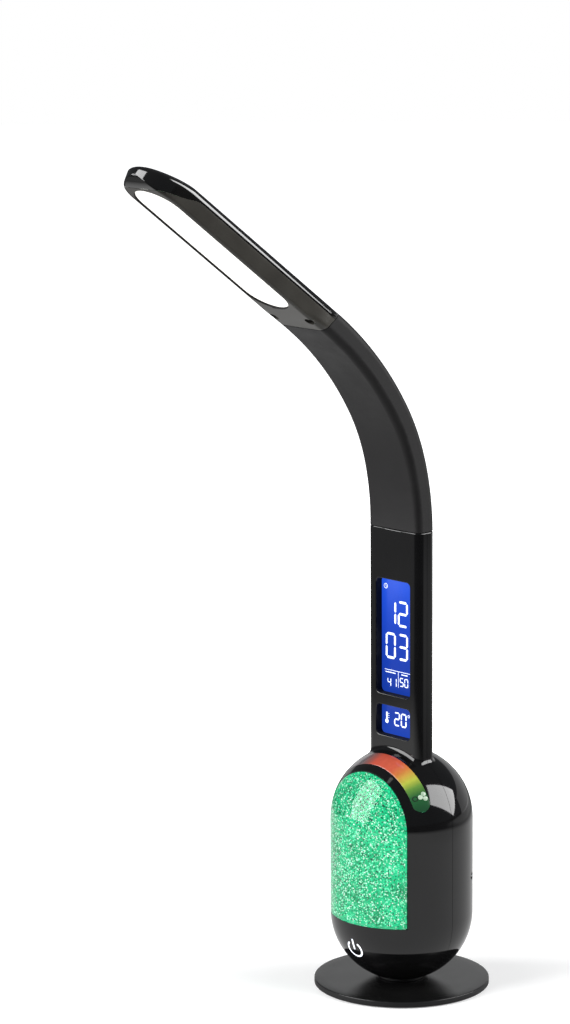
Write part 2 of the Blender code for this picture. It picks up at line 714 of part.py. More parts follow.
def build_arm():
    for number in range(len(ARM_PIVOTS) + 1):
        pivot = arm_point(ARM_PIVOTS[number - 1], 0, 0) if number else None
        made = tube_loft(sleeve_rings(number, 0.0), sleeve_rings(number, SLEEVE_WALL))
        finish(made, "sleeve_%d" % number, SILICONE, pivot=pivot)
        start = ARM_PIVOTS[number - 1] + CORE_END_GAP if number else -8.0
        end = ARM_PIVOTS[number] - CORE_END_GAP if number < len(ARM_PIVOTS) else ARM_LENGTH + 16
        rings = []
        for level in range(5):
            s = start + (end - start) * level / 4
            turns = [radians(a) for a in range(0, 360, 30)]
            rings.append([arm_point(s, CORE_RADIUS * cos(a), CORE_RADIUS * sin(a)) for a in turns])
        finish(loft(rings), "gooseneck_%d" % number, STEEL, pivot=pivot)


# ---------------------------------------------------------------- head

def head_place():
    """Turns the head's own frame (X across, Y along, Z up) into the lamp's."""
    y, z, lean = arm_frame(ARM_LENGTH)
    along = Vector((0, -sin(lean), cos(lean)))
    up = Vector((0, cos(lean), sin(lean)))
    across = along.cross(up)
    turn = Matrix((across, along, up)).transposed().to_4x4()
    return Matrix.Translation((0, y * MM, z * MM)) @ turn


def head_section(a, inset=0.0):
    """(half width, underside height, top height) of the head at a along it."""
    plan = max(0.0, (a - (HEAD_LENGTH - HEAD_TIP_ROUND)) / HEAD_TIP_ROUND)
    side = max(0.0, (a - (HEAD_LENGTH - HEAD_TIP_TAPER)) / HEAD_TIP_TAPER)
    half = HEAD_HALF_WIDTH * sqrt(max(0.0, 1 - plan * plan))
    curl = 1 - sqrt(max(0.0, 1 - side * side))
    under = -HEAD_HALF_DEPTH + HEAD_UNDER_LIFT * curl + inset
    top = HEAD_HALF_DEPTH - HEAD_TOP_DROP * curl - inset
    return half - inset, under, top


def head_form(inset=0.0):
    stops = [25.0, 90.0, HEAD_LENGTH - HEAD_TIP_TAPER, HEAD_LENGTH - HEAD_TIP_ROUND]
    limit = 86 if inset == 0 else 66
    for angle in (12, 24, 36, 48, 58, 66, 74, 81, 86):
        if angle <= limit:
            stops.append(HEAD_LENGTH - HEAD_TIP_ROUND + HEAD_TIP_ROUND * sin(radians(angle)))
    rings = []
    half, low, high = head_section(0.0, inset)
    first = rounded(half, (high - low) / 2, HEAD_CORNER - inset, arc=4, shift_v=(low + high) / 2)
    rings.append([(u, seam_at(-v) - ARM_LENGTH + inset, v) for u, v in first])
    for a in stops:
        half, low, high = head_section(a, inset)
        outline = rounded(half, (high - low) / 2, HEAD_CORNER - inset, arc=4, shift_v=(low + high) / 2)
        rings.append([(u, a, v) for u, v in outline])
    return loft(rings)


def stadium(half_width, start, end, steps=12):
    points = []
    for step in range(steps + 1):
        angle = pi * step / steps
        points.append((half_width * cos(angle), end - half_width + half_width * sin(angle)))
    for step in range(steps + 1):
        angle = pi + pi * step / steps
        points.append((half_width * cos(angle), start + half_width + half_width * sin(angle)))
    return points


def build_head():
    place = head_place()
    whole = head_form()
    cut(whole, head_form(HEAD_WALL))
    cut(whole, rod((0, -10, 0), (0, 8, 0), 4.6))
    lower = whole.copy()
    lower.data = whole.data.copy()
    CUTTERS.objects.link(lower)
    cut(whole, block((-60, -40, -60), (60, 240, HEAD_SPLIT + GAP / 2)))
    cut(lower, block((-60, -40, HEAD_SPLIT - GAP / 2), (60, 240, 60)))
    for x in (-HEAD_SCREW_X, HEAD_SCREW_X):
        a = HEAD_SCREW_ALONG
        join(whole, rod((x, a, HEAD_SPLIT + GAP / 2), (x, a, 7.2), 2.7))
        cut(whole, rod((x, a, 0), (x, a, 5.6), 1.3, sides=12))
        join(lower, rod((x, a, -7.2), (x, a, HEAD_SPLIT - GAP / 2), 2.9))
        cut(lower, rod((x, a, -9), (x, a, 5), 1.3, sides=12), rod((x, a, -12), (x, a, -4.2), 2.4))
    cut(lower, slab(stadium(DIFFUSER_HALF_WIDTH, *DIFFUSER), -12, -5.5, plane="XY"))
    finish(whole, "head_top_cover", GLOSS_BLACK, place=place)
    finish(lower, "head_lower_frame", GLOSS_BLACK, place=place)
    for side, x in (("left", -HEAD_SCREW_X), ("right", HEAD_SCREW_X)):
        a = HEAD_SCREW_ALONG
        head = rod((x, a, -6.0), (x, a, -4.5), 2.1)
        join(head, rod((x, a, -5.0), (x, a, 5.0), 1.0, sides=12))
        finish(head, "head_screw_" + side, STEEL, place=place)
    start, end = DIFFUSER
    outline = stadium(DIFFUSER_HALF_WIDTH - GAP, start + GAP, end - GAP)
    lens = slab(outline, -12, -HEAD_HALF_DEPTH + HEAD_WALL, plane="XY")
    combine(lens, head_form(), "INTERSECT")
    finish(lens, "head_diffuser", OPAL, place=place)
    board = block((-14, 36, -2.6), (14, 158, -1.2))
    for number in range(10):
        a = 44 + 11.8 * number
        join(board, block((-1.8, a - 1.8, -3.4), (1.8, a + 1.8, -2.4)))
    finish(board, "head_led_board", BOARD, place=place)
    clamp = block((-8, 9.0, -5.0), (8, 24, 5.0))
    cut(clamp, rod((0, 0, 0), (0, 18, 0), 3.9))
    finish(clamp, "head_clamp", STEEL, place=place)


build_base()
build_housing()
build_vessel()
build_globe_electronics()
build_display()
build_arm()
build_head()
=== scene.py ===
"""The look of a desk lamp with a glitter globe, a clock display and a flexible arm.

Shapes are worked out in millimetres and turned into metres when their mesh is made.
"""

import random
from math import acos, cos, hypot, pi, radians, sin, sqrt

import bmesh
import bpy
import numpy as np
from mathutils import Matrix, Vector
from mathutils.bvhtree import BVHTree
from mathutils.interpolate import poly_3d_calc


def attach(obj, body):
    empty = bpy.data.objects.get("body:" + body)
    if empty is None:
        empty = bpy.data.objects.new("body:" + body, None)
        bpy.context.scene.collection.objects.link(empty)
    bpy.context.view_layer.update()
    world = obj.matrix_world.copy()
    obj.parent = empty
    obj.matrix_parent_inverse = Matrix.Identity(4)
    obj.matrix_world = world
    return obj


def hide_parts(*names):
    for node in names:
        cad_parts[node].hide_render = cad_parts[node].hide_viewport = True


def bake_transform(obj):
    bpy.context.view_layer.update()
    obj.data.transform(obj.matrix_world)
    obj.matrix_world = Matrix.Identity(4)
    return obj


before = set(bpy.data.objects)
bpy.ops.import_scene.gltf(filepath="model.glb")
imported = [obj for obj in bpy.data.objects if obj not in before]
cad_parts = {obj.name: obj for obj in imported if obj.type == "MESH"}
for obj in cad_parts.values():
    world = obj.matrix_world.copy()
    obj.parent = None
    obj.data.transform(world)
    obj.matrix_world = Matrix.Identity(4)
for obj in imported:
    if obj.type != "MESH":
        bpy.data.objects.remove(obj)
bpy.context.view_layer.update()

MM = 0.001
GAP = 0.3
WELD = 2e-6
THINNEST = 1e-7
rng = random.Random(11)

# The design's own sizes, in millimetres
GLOBE_RADIUS = 46.7
GLOBE_LOW = 50.2
GLOBE_HIGH = 112.6
WALL = 2.2
HALF_GAP = 0.12
NECK_RADIUS = 15.0
NECK_LOW = 4.8
NECK_TOP = 6.6
COLUMN_HALF_WIDTH = 23.3
COLUMN_HALF_DEPTH = 7.95
COLUMN_CORNER = 4.8
COLUMN_START = 100.0
COLUMN_TOP = 305.1
FILLET = 2.6
MAIN_DISPLAY = (195.3, 271.6)
SMALL_DISPLAY = (167.5, 187.8)
DISPLAY_HALF_WIDTH = 15.3
DISPLAY_LIP = 0.65
PANEL_FACE = -2.6
WINDOW_PLANE = -30.0
WINDOW_BOTTOM = 49.7
CORE_DEPTH = 3.6
FLAKE_COUNT = 4000
SLIDER_MIDDLE = -19.35
SLIDER_HALF = 5.65
SLIDER_END = 27.6
ARM_STRETCH = 42.5
ARM_BENDS = (14.05, 17.53, 11.52, 10.56)
ARM_LENGTH = 170.0
ARM_PIVOTS = (20.0, 46.0, 72.0, 98.0, 124.0, 150.0)
SLEEVE_SPLITS = (33.0, 59.0, 85.0, 111.0, 137.0)
HEAD_HALF_WIDTH = 21.0
HEAD_HALF_DEPTH = 8.2
HEAD_LENGTH = 178.25
HEAD_CORNER = 4.8
HEAD_TIP_ROUND = 23.5
HEAD_TIP_TAPER = 30.6
HEAD_TOP_DROP = 7.75
HEAD_UNDER_LIFT = 6.2
HEAD_UNDER_TAPER = 13.0
HEAD_NOSE = 34.0
HEAD_WALL = 1.8
HEAD_SPLIT = 2.45
SEAM_MIDDLE = 2.25
SEAM_SLANT = 2.75
DIFFUSER_HALF_WIDTH = 17.5
DIFFUSER = (28.0, 167.0)
HEAD_SCREWS = ((-16.0, 15.5), (16.0, 15.5))
DISC_RADIUS = 57.5


# ---- meshes

def srgb(red, green, blue):
    """A colour given as 0 to 255 screen values, as linear values."""
    values = []
    for value in (red, green, blue):
        part = value / 255
        values.append(part / 12.92 if part <= 0.04045 else ((part + 0.055) / 1.055) ** 2.4)
    return (*values, 1.0)


def raw(name, points, faces):
    """A mesh object from points in millimetres, as they are."""
    mesh = bpy.data.meshes.new(name)
    mesh.from_pydata([(x * MM, y * MM, z * MM) for x, y, z in points], [], faces)
    made = bpy.data.objects.new(name, mesh)
    bpy.context.scene.collection.objects.link(made)
    return made


def make(name, points, faces, look=None):
    """A mesh object with coincident points welded and all faces turned outward."""
    made = raw(name, points, faces)
    shape = bmesh.new()
    shape.from_mesh(made.data)
    bmesh.ops.remove_doubles(shape, verts=shape.verts, dist=WELD)
    bmesh.ops.dissolve_degenerate(shape, edges=shape.edges, dist=THINNEST)
    bmesh.ops.recalc_face_normals(shape, faces=shape.faces)
    shape.to_mesh(made.data)
    shape.free()
    if look:
        made.data.materials.append(look)
    return made


def grid(rows, cols, first=0, around=False):
    """Faces of a grid of points, row by row."""
    faces = []
    for j in range(rows - 1):
        for i in range(cols if around else cols - 1):
            k = (i + 1) % cols
            faces.append((first + j * cols + i, first + j * cols + k,
                          first + (j + 1) * cols + k, first + (j + 1) * cols + i))
    return faces


def thick(name, outer, inner, look=None, around=False, ends=True):
    """A wall between two grids of points; around closes its rows, ends closes its first and last row."""
    rows, cols = len(outer), len(outer[0])
    shift = rows * cols
    faces = grid(rows, cols, around=around)
    faces += [tuple(reversed(f)) for f in grid(rows, cols, shift, around)]
    if ends:
        for i in range(cols if around else cols - 1):
            k = (i + 1) % cols
            for row in (0, shift - cols):
                faces.append((row + i, row + k, shift + row + k, shift + row + i))
    if not around:
        for j in range(rows - 1):
            for i in (0, cols - 1):
                a, b = j * cols + i, (j + 1) * cols + i
                faces.append((a, b, shift + b, shift + a))
    points = [tuple(p) for side in (outer, inner) for ring in side for p in ring]
    return make(name, points, faces, look)


def loft(name, rings, look=None):
    """A solid through closed rings of equally many points."""
    count = len(rings[0])
    faces = grid(len(rings), count, around=True)
    faces.append(tuple(range(count)))
    faces.append(tuple(range((len(rings) - 1) * count, len(rings) * count)))
    return make(name, [p for ring in rings for p in ring], faces, look)


def circle(u, v, radius, count=24):
    """Points round a circle in a plane."""
    turns = [2 * pi * i / count for i in range(count)]
    return [(u + radius * cos(turn), v + radius * sin(turn)) for turn in turns]


def upright(outline, y):
    """An outline of (x, z) points, put at y."""
    return [(u, y, v) for u, v in outline]


def lathe(name, profile, look, steps):
    """A solid of revolution about the Z axis. The profile is (radius, height), from axis to axis."""
    rings = [[(u, v, height) for u, v in circle(0, 0, radius, steps)] for radius, height in profile]
    return loft(name, rings, look)


def rod(name, start, end, radius, look=None, sides=32, edge=0.0):
    """A round bar between two points; edge rounds its rims."""
    a, b = Vector(start), Vector(end)
    length = (b - a).length
    profile = [(radius, 0.0), (radius, length)]
    if edge:
        turns = [pi / 8 * i for i in range(5)]
        low = [(radius - edge + edge * sin(turn), edge - edge * cos(turn)) for turn in turns]
        profile = low + [(r, length - h) for r, h in reversed(low)]
    turn = (b - a).to_track_quat("Z", "Y").to_matrix()
    rings = []
    for r, h in profile:
        rings.append([tuple(a + turn @ Vector((u, v, h))) for u, v in circle(0, 0, r, sides)])
    return loft(name, rings, look)


def slab(name, outline, low, high, plane="XZ"):
    """A flat outline given thickness along Y (XZ) or along Z (XY)."""
    if plane == "XZ":
        return loft(name, [upright(outline, level) for level in (low, high)])
    return loft(name, [[(u, v, level) for u, v in outline] for level in (low, high)])


def block(name, low, high):
    (x0, y0, z0), (x1, y1, z1) = low, high
    return slab(name, [(x0, z0), (x1, z0), (x1, z1), (x0, z1)], y0, y1)


def cut(target, other, operation="DIFFERENCE"):
    """Cuts other from target, or with UNION joins it on. other is used up."""
    change = target.modifiers.new("Combine", "BOOLEAN")
    change.operation = operation
    change.solver = "EXACT"
    change.object = other
    depsgraph = bpy.context.evaluated_depsgraph_get()
    mesh = bpy.data.meshes.new_from_object(target.evaluated_get(depsgraph))
    target.modifiers.clear()
    target.data = mesh
    bpy.data.objects.remove(other)
    return target


def join(target, other):
    return cut(target, other, "UNION")


def shade(made, angle=30):
    made.data.shade_smooth()
    made.data.set_sharp_from_angle(angle=radians(angle))
    return made


def slope_of(distance, spots, step=0.02):
    """Unit gradient of a distance function at each point."""
    slope = np.zeros_like(spots)
    for axis in range(3):
        shift = np.zeros(3)
        shift[axis] = step
        slope[:, axis] = distance(spots + shift) - distance(spots - shift)
    return slope / np.maximum(np.linalg.norm(slope, axis=1), 1e-9)[:, None]


def surface_of(distance):
    """A surface given by a distance function, for true_normals."""
    return lambda spots: (distance(spots), slope_of(distance, spots))


def surface_like(made):
    """A surface given by a finished smooth mesh, for true_normals."""
    mesh = made.data
    corners = [v.co / MM for v in mesh.vertices]
    normals = [v.normal.copy() for v in mesh.vertices]
    faces = [tuple(p.vertices) for p in mesh.polygons]
    tree = BVHTree.FromPolygons(corners, faces)

    def look_up(spots):
        gaps, slopes = [], []
        for spot in spots:
            place, _, face, gap = tree.find_nearest(Vector(spot))
            weights = poly_3d_calc([corners[i] for i in faces[face]], place)
            normal = Vector((0, 0, 0))
            for weight, i in zip(weights, faces[face]):
                normal += normals[i] * weight
            gaps.append(gap)
            slopes.append(normal.normalized()[:])
        return np.array(gaps), np.array(slopes)

    return look_up


def read(items, name):
    """A vector property of every item of a mesh, as rows."""
    values = np.zeros(len(items) * 3, np.float32)
    items.foreach_get(name, values)
    return values.reshape(-1, 3).astype(float)


def true_normals(made, surface, near=0.03, along=0.75):
    """Faces that lie on a known surface get its normals.

    surface gives distances in mm and directions; near and along say what counts as lying on it.
    """
    mesh = made.data
    corner = read(mesh.corner_normals, "vector")
    index = np.array([loop.vertex_index for loop in mesh.loops])
    gap, slope = surface(read(mesh.vertices, "co") / MM)
    normals = np.array([p.normal[:] for p in mesh.polygons])
    sizes = np.array([p.loop_total for p in mesh.polygons])
    owner = np.repeat(np.arange(len(sizes)), sizes)
    facing = (normals[owner] * slope[index]).sum(1) > along
    spoilt = np.zeros(len(sizes), bool)
    np.logical_or.at(spoilt, owner, (np.abs(gap) > near)[index] | ~facing)
    chosen = np.where(spoilt[owner][:, None], corner, slope[index])
    mesh.normals_split_custom_set(chosen.tolist())
    return made


def turn_piece(made, place):
    """Moves a finished mesh and its normals."""
    normals = read(made.data.corner_normals, "vector")
    made.data.transform(place)
    turned = normals @ np.array(place.to_3x3()).T
    made.data.normals_split_custom_set(turned.tolist())
    return made


def paint(made, look):
    made.data.materials.clear()
    made.data.materials.append(look)
    return made


def make_matt(made, chosen):
    """Adds the matt material and gives it to the faces that chosen(x, y, z, face) picks, in mm."""
    made.data.materials.append(WELL)
    for face in made.data.polygons:
        if chosen(*(face.center / MM), face):
            face.material_index = 1


def settle(made, body, slot, *nodes):
    """The piece rides on its body and stands for the nodes; the slot is not used."""
    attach(made, body)
    if nodes:
        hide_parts(*nodes)
    return made


# ---- materials

class Look:
    """A procedural material in the making."""

    def __init__(self, name, **values):
        self.material = bpy.data.materials.new(name)
        self.material.use_nodes = True
        self.tree = self.material.node_tree
        self.shader = self.tree.nodes["Principled BSDF"]
        self.place = self.node("TexCoord").outputs["Object"]
        for key, value in values.items():
            self.shader.inputs[key.replace("_", " ")].default_value = value

    def node(self, kind, inputs=None, **settings):
        made = self.tree.nodes.new("ShaderNode" + kind)
        for key, value in settings.items():
            setattr(made, key, value)
        for key, value in (inputs or {}).items():
            if isinstance(value, bpy.types.NodeSocket):
                self.tree.links.new(value, made.inputs[key])
            else:
                made.inputs[key].default_value = value
        return made

    def noise(self, scale, detail=4.0, rough=0.55, place=None):
        values = {"Vector": place or self.place, "Scale": scale, "Detail": detail, "Roughness": rough}
        return self.node("TexNoise", values).outputs["Fac"]

    def ramp(self, factor, stops):
        """Colours given as three screen values or four linear ones."""
        made = self.node("ValToRGB", {"Fac": factor})
        elements = made.color_ramp.elements
        while len(elements) < len(stops):
            elements.new(0.5)
        for element, (position, colour) in zip(elements, sorted(stops)):
            element.position = position
            element.color = srgb(*colour) if len(colour) == 3 else colour
        return made.outputs["Color"]

    def between(self, factor, dark, light, end=0.7):
        return self.ramp(factor, [(0.3, dark), (end, light)])

    def spread(self, factor, low, high, start=0.3, end=0.7):
        values = {"Value": factor, "From Min": start, "From Max": end, "To Min": low, "To Max": high}
        return self.node("MapRange", values).outputs["Result"]

    def mix(self, factor, first, second, blend="MIX"):
        values = {0: factor, 6: first, 7: second}
        return self.node("Mix", values, data_type="RGBA", blend_type=blend).outputs[2]

    def math(self, operation, first, second=0.0):
        return self.node("Math", {0: first, 1: second}, operation=operation).outputs[0]

    def length(self, place):
        return self.node("VectorMath", {0: place}, operation="LENGTH").outputs["Value"]

    def moved(self, **values):
        """The object's coordinates shifted, turned or scaled."""
        values = {key.title(): value for key, value in values.items()}
        return self.node("Mapping", {"Vector": self.place, **values}).outputs["Vector"]

    def done(self, base, rough=None, bump=None, glow=None):
        """The material. bump is height, strength and depth in mm; glow is a colour and its strength."""
        links = {"Base Color": base}
        if rough is not None:
            links["Roughness"] = rough
        if bump:
            values = {"Height": bump[0], "Strength": bump[1], "Distance": bump[2] * MM}
            links["Normal"] = self.node("Bump", values).outputs["Normal"]
        if glow:
            links["Emission Color"] = glow[0]
            self.shader.inputs["Emission Strength"].default_value = glow[1]
        for name, source in links.items():
            self.tree.links.new(source, self.shader.inputs[name])
        return self.material


def plastic(name, dark, light, rough, grain, bump, ior=1.5):
    """Moulded plastic or rubber: a slightly cloudy colour, with uneven gloss and a fine grain."""
    look = Look(name, IOR=ior)
    broad = look.noise(45.0, 3.0)
    bump = (look.noise(grain, 2.0, 0.6), *bump)
    return look.done(look.between(broad, dark, light), look.spread(broad, *rough), bump)


def silicone():
    look = Look("silicone", IOR=1.42, Specular_IOR_Level=0.35, Sheen_Weight=0.06, Sheen_Roughness=0.4)
    dust = look.noise(70.0, 6.0, 0.6)
    bump = (look.noise(2600.0, 3.0, 0.6), 0.25, 0.05)
    return look.done(look.between(dust, (21, 20, 21), (27, 26, 27), 0.72), look.spread(dust, 0.5, 0.62), bump)


def painted_metal():
    """Black paint over a turned disc, whose rings still show a little."""
    look = Look("base_metal", IOR=1.5)
    broad = look.noise(40.0, 4.0)
    values = {"W": look.length(look.moved(scale=(1, 1, 0))), "Scale": 900.0, "Detail": 3.0}
    turned = look.node("TexNoise", values, noise_dimensions="1D").outputs["Fac"]
    bump = (look.math("ADD", look.noise(2200.0, 3.0, 0.6), turned), 0.12, 0.03)
    return look.done(look.between(broad, (12, 12, 12), (17, 17, 17)), look.spread(broad, 0.19, 0.25), bump)


def metal(name, dark, light, rough, stretch=(1.0, 1.0, 30.0), scale=120.0):
    """Bare metal with drawn or cast grain."""
    look = Look(name, Metallic=1.0)
    grain = look.noise(scale, 5.0, 0.65, look.moved(scale=stretch))
    return look.done(look.between(grain, dark, light), look.spread(grain, *rough), (grain, 0.2, 0.03))


def circuit_board():
    """Green lacquer over copper tracks, with pale pads."""
    look = Look("circuit_board", Roughness=0.35)
    tracks = look.node("TexBrick", {
        "Vector": look.moved(rotation=(pi / 2, 0, pi / 4)), "Color1": srgb(20, 82, 44),
        "Color2": srgb(26, 96, 52), "Mortar": srgb(14, 60, 34), "Scale": 260.0,
        "Mortar Size": 0.02, "Brick Width": 0.9, "Row Height": 0.22})
    pads = look.node("TexVoronoi", {"Vector": look.place, "Scale": 260.0}).outputs["Distance"]
    dots = look.spread(pads, 1.0, 0.0, 0.16, 0.2)
    colour = look.mix(dots, tracks.outputs["Color"], srgb(196, 190, 170))
    return look.done(colour, bump=(tracks.outputs["Fac"], 0.3, 0.05))


def light_guide():
    """A backlight's clear sheet with a pattern of printed dots."""
    look = Look("light_guide", Roughness=0.2, IOR=1.49)
    dots = look.node("TexVoronoi", {"Vector": look.place, "Scale": 900.0}).outputs["Distance"]
    colour = look.ramp(dots, [(0.2, (238, 244, 252)), (0.4, (214, 224, 240))])
    return look.done(colour, look.spread(look.noise(60.0), 0.15, 0.28))


def clear_plastic():
    look = Look("clear_plastic", IOR=1.37, Roughness=0.0, Transmission_Weight=1.0)
    colour = look.between(look.noise(30.0), (0.93, 1.0, 0.965, 1), (0.97, 1.0, 0.985, 1))
    return look.done(colour, look.spread(look.noise(80.0, 3.0), 0.0, 0.015))


# the liquid's flakes, size by size: scale of their pattern, share of cells that hold one, colour, shift
LIQUID_FLAKES = ((560.0, 0.26, (120, 240, 190), 0.0), (760.0, 0.36, (0, 104, 66), 7.7),
                 (900.0, 0.26, (214, 255, 236), 3.1), (1000.0, 0.24, (0, 40, 26), 5.3))


def glitter_liquid():
    """The lit liquid behind the clear wall: a green glow full of flakes of several sizes."""
    look = Look("glitter_liquid", Roughness=0.6)
    colour = look.ramp(look.noise(38.0, 3.0, 0.6), [(0.30, (0, 142, 86)), (0.50, (0, 204, 136)),
                                                    (0.72, (28, 234, 164))])
    for scale, share, tone, shift in LIQUID_FLAKES:
        values = {"Vector": look.moved(location=(shift, shift, shift)), "Scale": scale}
        cells = look.node("TexVoronoi", values)
        pick = look.node("SeparateColor", {"Color": cells.outputs["Color"]}).outputs[0]
        chosen = look.spread(pick, 1.0, 0.0, share - 0.04, share + 0.04)
        disc = look.spread(cells.outputs["Distance"], 1.0, 0.0, 0.34, 0.48)
        colour = look.mix(look.math("MULTIPLY", chosen, disc), colour, srgb(*tone))
    return look.done(look.mix(0.12, (0, 0, 0, 1), colour), glow=(colour, 0.95))


def flake_foil():
    """Hexagonal flakes; each one's tone attribute picks its colour."""
    look = Look("glitter_flakes", Roughness=0.35)
    tone = look.node("Attribute", attribute_name="tone").outputs["Fac"]
    colour = look.ramp(tone, [
        (0.0, (0, 34, 22)), (0.22, (4, 84, 56)), (0.31, (8, 168, 112)),
        (0.54, (14, 218, 148)), (0.72, (120, 255, 206)), (1.0, (250, 255, 252))])
    darker = look.spread(look.noise(4000.0, 2.0), 0.75, 0.95)
    return look.done(look.mix(darker, colour, (0.0, 0.02, 0.01, 1)), glow=(colour, 0.95))


# the touch strip's colours, by the angle in degrees round the globe's shoulder from the right
SLIDER_COLOURS = (
    (20, (26, 68, 42)), (35, (36, 92, 50)), (43, (92, 134, 56)), (50, (168, 176, 66)),
    (56, (184, 150, 64)), (62, (188, 112, 58)), (70, (184, 84, 60)), (92, (178, 74, 56)),
    (99, (130, 74, 68)), (108, (96, 88, 90)), (120, (76, 72, 76)), (150, (56, 56, 60)))


def slider_plastic():
    """The touch slider's printed colours, from violet grey on the left to green on the right."""
    look = Look("slider_plastic", Roughness=0.12, IOR=1.5, Coat_Weight=0.6, Coat_Roughness=0.05)
    parts = look.node("SeparateXYZ", {"Vector": look.place})
    height = look.math("SUBTRACT", parts.outputs["Z"], GLOBE_HIGH * MM)
    turn = look.math("DIVIDE", look.math("ARCTAN2", height, parts.outputs["X"]), pi)
    colour = look.ramp(turn, [(angle / 180, tone) for angle, tone in SLIDER_COLOURS])
    cloud = look.noise(300.0, 4.0)
    tinted = look.mix(look.spread(cloud, 0.0, 0.12), colour, (0, 0, 0, 1))
    return look.done(tinted, look.spread(cloud, 0.10, 0.16), glow=(tinted, 0.24))


def opal():
    """The lit diffuser, almost even."""
    look = Look("opal_diffuser", Roughness=0.35)
    colour = look.between(look.noise(25.0, 2.0), (255, 254, 250), (255, 253, 246))
    return look.done(colour, bump=(look.noise(1800.0, 2.0), 0.08, 0.03), glow=(colour, 0.9))


def lcd_blue():
    """A backlit display: deep blue, lighter towards the top, with the fine mesh of its cells."""
    look = Look("lcd_blue", Roughness=0.3, IOR=1.2)
    parts = look.node("SeparateXYZ", {"Vector": look.place})
    height = look.spread(parts.outputs["Z"], 0.0, 1.0, 0.165, 0.275)
    cloud = look.math("MULTIPLY", look.noise(90.0, 3.0), 0.1)
    colour = look.ramp(look.math("ADD", height, cloud), [
        (0.04, (34, 72, 186)), (0.24, (28, 64, 172)), (0.31, (24, 60, 164)),
        (0.64, (28, 68, 190)), (0.88, (34, 82, 218)), (1.0, (40, 92, 234))])
    cells = look.node("TexBrick", {
        "Vector": look.moved(rotation=(pi / 2, 0, 0)), "Color1": (1, 1, 1, 1),
        "Color2": (0.96, 0.97, 1, 1), "Mortar": (0.86, 0.88, 0.95, 1), "Scale": 1400.0,
        "Mortar Size": 0.012, "Brick Width": 0.7, "Row Height": 0.7}, offset=0.0).outputs["Color"]
    lit = look.mix(1.0, colour, cells, "MULTIPLY")
    return look.done(look.mix(0.05, (0, 0, 0, 1), lit), glow=(lit, 0.95))


def lit_white(name, strength, low=(232, 240, 255), high=(255, 255, 255)):
    look = Look(name, Roughness=0.3)
    colour = look.between(look.noise(400.0, 3.0), low, high)
    return look.done(colour, glow=(colour, strength))


GLOSS = plastic("gloss_black_plastic", (13, 13, 14), (17, 17, 18), (0.045, 0.075), 900.0, (0.05, 0.01))
HEAD_GLOSS = plastic("head_gloss_black", (13, 13, 14), (18, 17, 17), (0.05, 0.09), 900.0, (0.05, 0.01), 1.68)
SATIN = plastic("satin_black_plastic", (56, 54, 50), (62, 60, 55), (0.30, 0.37), 1800.0, (0.12, 0.03))
WELL = plastic("display_well", (12, 12, 13), (18, 18, 19), (0.6, 0.75), 1500.0, (0.2, 0.04), 1.35)
SILICONE = silicone()
PAINTED = painted_metal()
RUBBER = plastic("foot_rubber", (18, 18, 18), (30, 30, 29), (0.75, 0.95), 1500.0, (0.5, 0.15))
STEEL = metal("steel", (150, 150, 152), (190, 190, 192), (0.28, 0.42))
IRON = metal("ballast_iron", (70, 70, 72), (104, 103, 102), (0.5, 0.7), (1, 1, 1), 500.0)
BOARD = circuit_board()
BLACK_PART = plastic("component_black", (16, 16, 17), (28, 28, 29), (0.4, 0.55), 1200.0, (0.25, 0.06))
DRIVE = plastic("drive_plastic", (188, 188, 184), (212, 212, 208), (0.35, 0.5), 700.0, (0.15, 0.05))
BUTTON = plastic("button_plastic", (17, 17, 18), (23, 23, 24), (0.28, 0.4), 1400.0, (0.2, 0.04))
GUIDE = light_guide()
CLEAR = clear_plastic()
LIQUID = glitter_liquid()
FOIL = flake_foil()
SLIDER = slider_plastic()
OPAL = opal()
LCD = lcd_blue()
DIGITS = lit_white("lcd_digits", 0.72, (214, 226, 248), (236, 242, 255))
ICON_LIGHT = lit_white("power_light", 1.0)
ICON_PALE = lit_white("icon_pale", 0.12, (150, 178, 150), (196, 214, 194))

# what the CAD parts are made of, by the start of their names; the first that fits counts
NODE_LOOKS = (
    ("front_housing rear_housing head_top_cover head_lower_frame", GLOSS), ("sleeve_", SILICONE),
    ("button_", BUTTON), ("ballast_weight", IRON), ("base_pad vessel_plug", RUBBER), ("base_disc", PAINTED),
    ("stirrer magnet_drive", DRIVE), ("main_backlight small_backlight", GUIDE),
    ("main_lcd_panel small_lcd_panel", LCD),
    ("alarm_buzzer temperature_sensor power_jack switch_", BLACK_PART),
    ("head_led_board display_board main_board slider_board colour_led_board", BOARD), ("", STEEL))


# ---- housing

def soft_min(a, b, reach):
    share = np.maximum(reach - np.abs(a - b), 0.0) / reach
    return np.minimum(a, b) - share * share * reach / 4


def globe_distance(p):
    middle = np.clip(p[:, 2], GLOBE_LOW, GLOBE_HIGH)
    return np.sqrt(p[:, 0] ** 2 + p[:, 1] ** 2 + (p[:, 2] - middle) ** 2) - GLOBE_RADIUS


def box_distance(u, v, half_u, half_v):
    """How far points are outside a rectangle with the column's round corners."""
    u = np.abs(u) - (half_u - COLUMN_CORNER)
    v = np.abs(v) - (half_v - COLUMN_CORNER)
    outside = np.sqrt(np.maximum(u, 0) ** 2 + np.maximum(v, 0) ** 2)
    return outside + np.minimum(np.maximum(u, v), 0.0) - COLUMN_CORNER


def body_distance(p):
    """How far a point is outside the housing's surface; the column flows into the globe."""
    column = box_distance(p[:, 0], p[:, 1], COLUMN_HALF_WIDTH, COLUMN_HALF_DEPTH)
    return soft_min(globe_distance(p), np.where(p[:, 2] > COLUMN_START, column, 50.0), FILLET)


